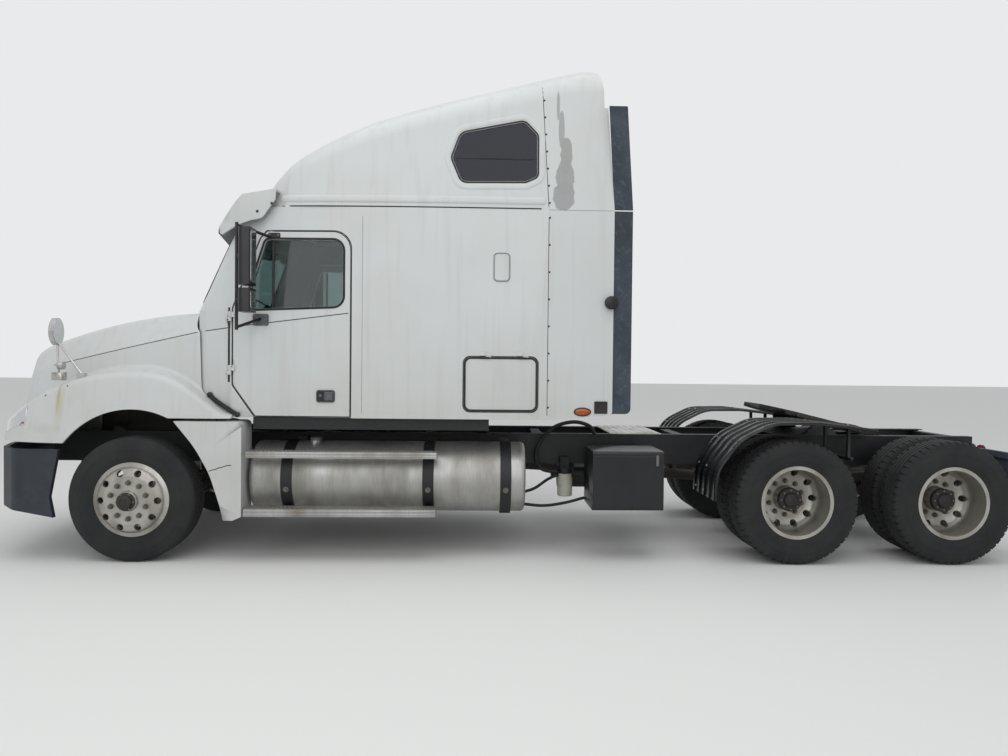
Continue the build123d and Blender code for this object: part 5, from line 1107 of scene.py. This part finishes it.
up = Vector((0, 0, 1))
tank_across, tank_height, weld_radius = 0.790, 0.652, 0.292
draw_bolt_across, draw_bolt_drop, step_face = 1.082, 0.075, 1.200
filler_cap = turned([(0.052, 0.0), (0.052, 0.022), (0.046, 0.028), (0.020, 0.030)], 32)
draw_bolt = joined(
    [
        turned([(0.012, -0.004), (0.012, 0.020), (0.009, 0.024)], 6),
        turned([(0.022, -0.004), (0.022, 0.004)], 18),
    ]
)
cleat = turned([(0.011, -0.001), (0.011, 0.002), (0.007, 0.004)], 6)
cleat_pitch = 0.034
treads = [
    # level, inner edge, front, rear
    (0.895, 1.080, 0.930, 2.400),
    (0.438, 1.045, 0.915, 2.395),
]
risers = [
    # bottom, top, front, rear
    (0.845, 0.895, 0.911, 2.418),
    (0.378, 0.438, 0.895, 2.412),
]
for side_name, side in sides:
    outward = Vector((0, side, 0))
    for number, behind in enumerate((0.935, 1.985, 3.102)):
        centre = at(behind, side * tank_across, tank_height)
        turns = [Vector((0, c, s)) for c, s in circle(72)]
        rows = [(centre + weld_radius * turn, turn) for turn in turns]
        form = carried(rows, bead(0.007, 0.0030), True)
        add_piece(f"tank_weld_{number}_{side_name}", *form, tank_aluminium, "fuel_tanks")
    lid = (at(1.400, side * 0.880, 0.958), up)
    repeat(f"filler_cap_{side_name}", filler_cap, [lid], handle_zinc, "fuel_tanks")
    places = [
        (at(behind, side * draw_bolt_across, tank_height - draw_bolt_drop), outward)
        for behind in (1.200, 2.344, 2.978)
    ]
    repeat(f"strap_bolts_{side_name}", draw_bolt, places, nut_steel, "tank_straps")
    for level, inner, front, rear in treads:
        cleats = [
            (at(front + cleat_pitch * i + shift, side * (inner + across), level), up)
            for i in range(int((rear - front) / cleat_pitch))
            for across, shift in ((0.020, 0.0), (0.060, cleat_pitch / 2), (0.100, 0.0))
        ]
        name = f"step_cleats_{int(level * 1000)}_{side_name}"
        repeat(name, cleat, cleats, tank_aluminium, "tank_steps")
    for low, high, front, rear in risers:
        for share in (0.28, 0.72):
            rise = low + (high - low) * share
            rows = [
                (at(front + (rear - front) * i / 8, side * step_face, rise), outward)
                for i in range(9)
            ]
            name = f"step_rib_{int(rise * 1000)}_{side_name}"
            form = carried(rows, bead(0.006, 0.003))
            add_piece(name, *form, tank_aluminium, "tank_steps")

# Deck plate behind the sleeper: seven extruded aluminium planks, bright where feet have worn them.
# Each is a shallow bead, so that the joints between them read as lines.

deck_low, deck_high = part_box("deck_plate")
planks, plank_gap, plank_reach = 7, 0.008, 0.425
pitch = (deck_high[0] - deck_low[0]) / planks
half = (pitch - plank_gap) / 2
for i in range(planks):
    middle = deck_low[0] + pitch * i + plank_gap / 2 + half
    rows = [(Vector((middle, y, deck_high[2])), up) for y in (-plank_reach, 0.0, plank_reach)]
    form = carried(rows, bead(half, 0.006, 0.001))
    add_piece(f"deck_plank_{i}", *form, deck_aluminium, "deck_plate")

# Battery box: a moulded lid over a steel tray, its latch, and the two feet under the tray.
# It stands on the driver's side only.

box_skin = skin_of("battery_box")
# the lid's seam is a thin dark bead of painted shade and dirt
seam_points = run((3.70, 0.866), (0.060, 0), 10)
lid_seam = strip_on(box_skin, seam_points, -1, bead(0.004, 0.002))
add_piece("battery_lid_seam", *lid_seam, joint_dirt_and_shade, "battery_box")
latch = plate_on(box_skin, oblong((4.193, 0.790), (4.217, 0.880), 0.008), -1, 0.012, 0.003)
add_piece("battery_box_latch", *latch, nut_steel, "battery_box")
for number, behind in enumerate((3.790, 4.130)):
    rows = [(at(behind + 0.10 * i, -0.86, 0.427), -up) for i in (-0.5, 0, 0.5)]
    foot = carried(rows, bead(0.050, 0.018))
    add_piece(f"battery_box_foot_{number}", *foot, chassis_enamel, "battery_box")

# Fuel filter: a white-painted can screwed up into its black head, gone cream with age. The head
# is the frame piece.

# white enamel, gone cream and stained with fuel
can_paint = weathered(
    "cream_filter_paint", "#c9c6b8", "#a89f8a", "#8f8874", 0.5, patch_mm=40, grain_mm=2
)
can = turned([(0.058, 0.0), (0.066, 0.010), (0.066, 0.150), (0.060, 0.160), (0.060, 0.200)], 36)
repeat("filter_can", can, [(at(3.520, -0.560, 0.447), up)], can_paint, "fuel_filter")

# Headlamps: the amber turn lamp in the lens's rear corner. It is a low boss of dusty acrylic on
# the clear lens.

turn_lamp = loop(
    [(-0.925, 1.060, 0.010), (-0.885, 1.115, 0.010), (-0.868, 1.100, 0.006), (-0.890, 1.045, 0.010)],
    0.02,
)
lay(plate_on, [("turn_lamp_{}", "headlamps", ["headlamps"], turn_lamp, 0.004, 0.002, amber_lens)])

# Wheel fairing: the crack in the driver's side's outer face; rear fenders: the bright bolts that
# hold each rib band, three across it.

# the crack is a thin dark bead of painted shade and dirt
crack = [(0.618, 0.734), (0.645, 0.745), (0.668, 0.748), (0.699, 0.762)]
crack += [(0.728, 0.768), (0.760, 0.781), (0.795, 0.783)]
thin = bead(0.0035, 0.0008, 0.001)
crack_form = strip_on(skin_of("wheel_fairings"), crack, -1, thin)
add_piece("fairing_crack", *crack_form, joint_dirt_and_shade, "wheel_fairings")
bands = [(4.700, 0.560), (4.705, 0.760), (4.860, 0.980)]
bands += [(5.120, 1.100), (5.500, 1.110), (5.850, 1.080)]
fender_middle, fender_height, outside_band = 5.34, 0.50, 0.4
for side_name, side in sides:
    spots = []
    for behind, rise in bands:
        toward = Vector((behind - fender_middle, 0, rise - fender_height)).normalized()
        for across in (0.665, 0.920, 1.170):
            start = at(behind, side * across, rise) + toward * outside_band
            hit = touch(skin_of("rear_fenders"), start, -toward)
            if hit:
                spots.append(hit)
    repeat(f"fender_bolts_{side_name}", small_bolt, spots, tank_aluminium, "rear_fenders")

# Hoses behind the cab: an air hose from the rail and two fuel hoses from the tank's end, each
# fixed at both ends and hanging a little between them.

# matt black hose rubber, dusty on top
hose_rubber = weathered(
    "black_hose_rubber", "#0b0c0e", "#1b1c1e", "#303132", 0.6, patch_mm=40, grain_mm=2
)


def eased(points, steps=8):
    """Points of a smooth line through the given ones."""
    ends = [points[0] * 2 - points[1]] + points + [points[-1] * 2 - points[-2]]
    line = []
    for before, here, there, after in zip(ends, ends[1:], ends[2:], ends[3:]):
        for i in range(steps):
            t = i / steps
            pull = (there - before) * t + (before * 2 - here * 5 + there * 4 - after) * t**2
            push = (here * 3 - before - there * 3 + after) * t**3
            line.append(here + (pull + push) / 2)
    return line + [points[-1]]


air_route = [(3.800, -0.440, 0.986), (3.745, -0.450, 1.060), (3.600, -0.480, 1.095)]
air_route += [(3.425, -0.520, 1.050), (3.300, -0.530, 0.920), (3.262, -0.540, 0.780)]
air_route += [(3.320, -0.550, 0.680), (3.470, -0.560, 0.655)]
high_route = [(3.146, -0.70, 0.500), (3.25, -0.66, 0.530), (3.37, -0.60, 0.600)]
high_route += [(3.48, -0.565, 0.640)]
low_route = [(3.146, -0.72, 0.400), (3.32, -0.71, 0.385), (3.50, -0.69, 0.405)]
low_route += [(3.678, -0.68, 0.450)]
hoses = [
    # name, diameter, points behind the axle, across and up
    ("air_hose", 0.034, air_route),
    ("fuel_hose_high", 0.026, high_route),
    ("fuel_hose_low", 0.026, low_route),
]
outward = Vector((0, -1, 0))
for name, wide, points in hoses:
    line = eased([at(*point) for point in points])
    rows = []
    for i, point in enumerate(line):
        along = (line[min(i + 1, len(line) - 1)] - line[max(i - 1, 0)]).normalized()
        rows.append((point, (outward - along * outward.dot(along)).normalized()))
    section = [(wide / 2 * c, wide / 2 * s) for c, s in circle(12)]
    form = carried(rows, section)
    hose = add_piece(name, *form, hose_rubber, "frame_rails", soft_angle)

# Mirror glasses: a silvered plate on the rear face of each head, in its plastic rim. Each is
# 3 mm thick.

# silvered glass, a thin film of dust on it
mirror_glass = weathered(
    "silvered_mirror_glass", "#d5d9db", "#b9bdbf", "#9b9a94", 0.04, 1.0,
    patch_mm=90, shares=(0.3, 0.2)
)
glass_thickness = 0.003
head_back, head_across = 1.0082, 1.34
hood_mirror_back, hood_mirror_across, hood_mirror_height = -0.6538, 0.985, 1.833


def upright_plate(edge, behind, across):
    """Points and faces of a plate of glass facing the rear, its edge given as (across, up)."""
    depths = (behind, behind + glass_thickness)
    verts = [at(depth, across + a, up) for depth in depths for a, up in edge]
    return verts, ring_faces(2, len(edge))


for side_name, side in sides:
    plates = [
        upright_plate(oblong((-0.068, low), (0.068, high), 0.02, 0.06), head_back, side * head_across)
        for low, high in ((2.212, 2.613), (2.005, 2.150))
    ]
    name = f"mirror_glass_{side_name}"
    add_piece(name, *joined(plates), mirror_glass, f"side_mirror_{side_name}")
    edge = [(0.079 * c, hood_mirror_height + 0.103 * s) for c, s in circle(40)]
    plate = upright_plate(edge, hood_mirror_back, side * hood_mirror_across)
    add_piece(f"hood_mirror_glass_{side_name}", *plate, mirror_glass, "hood_mirrors")
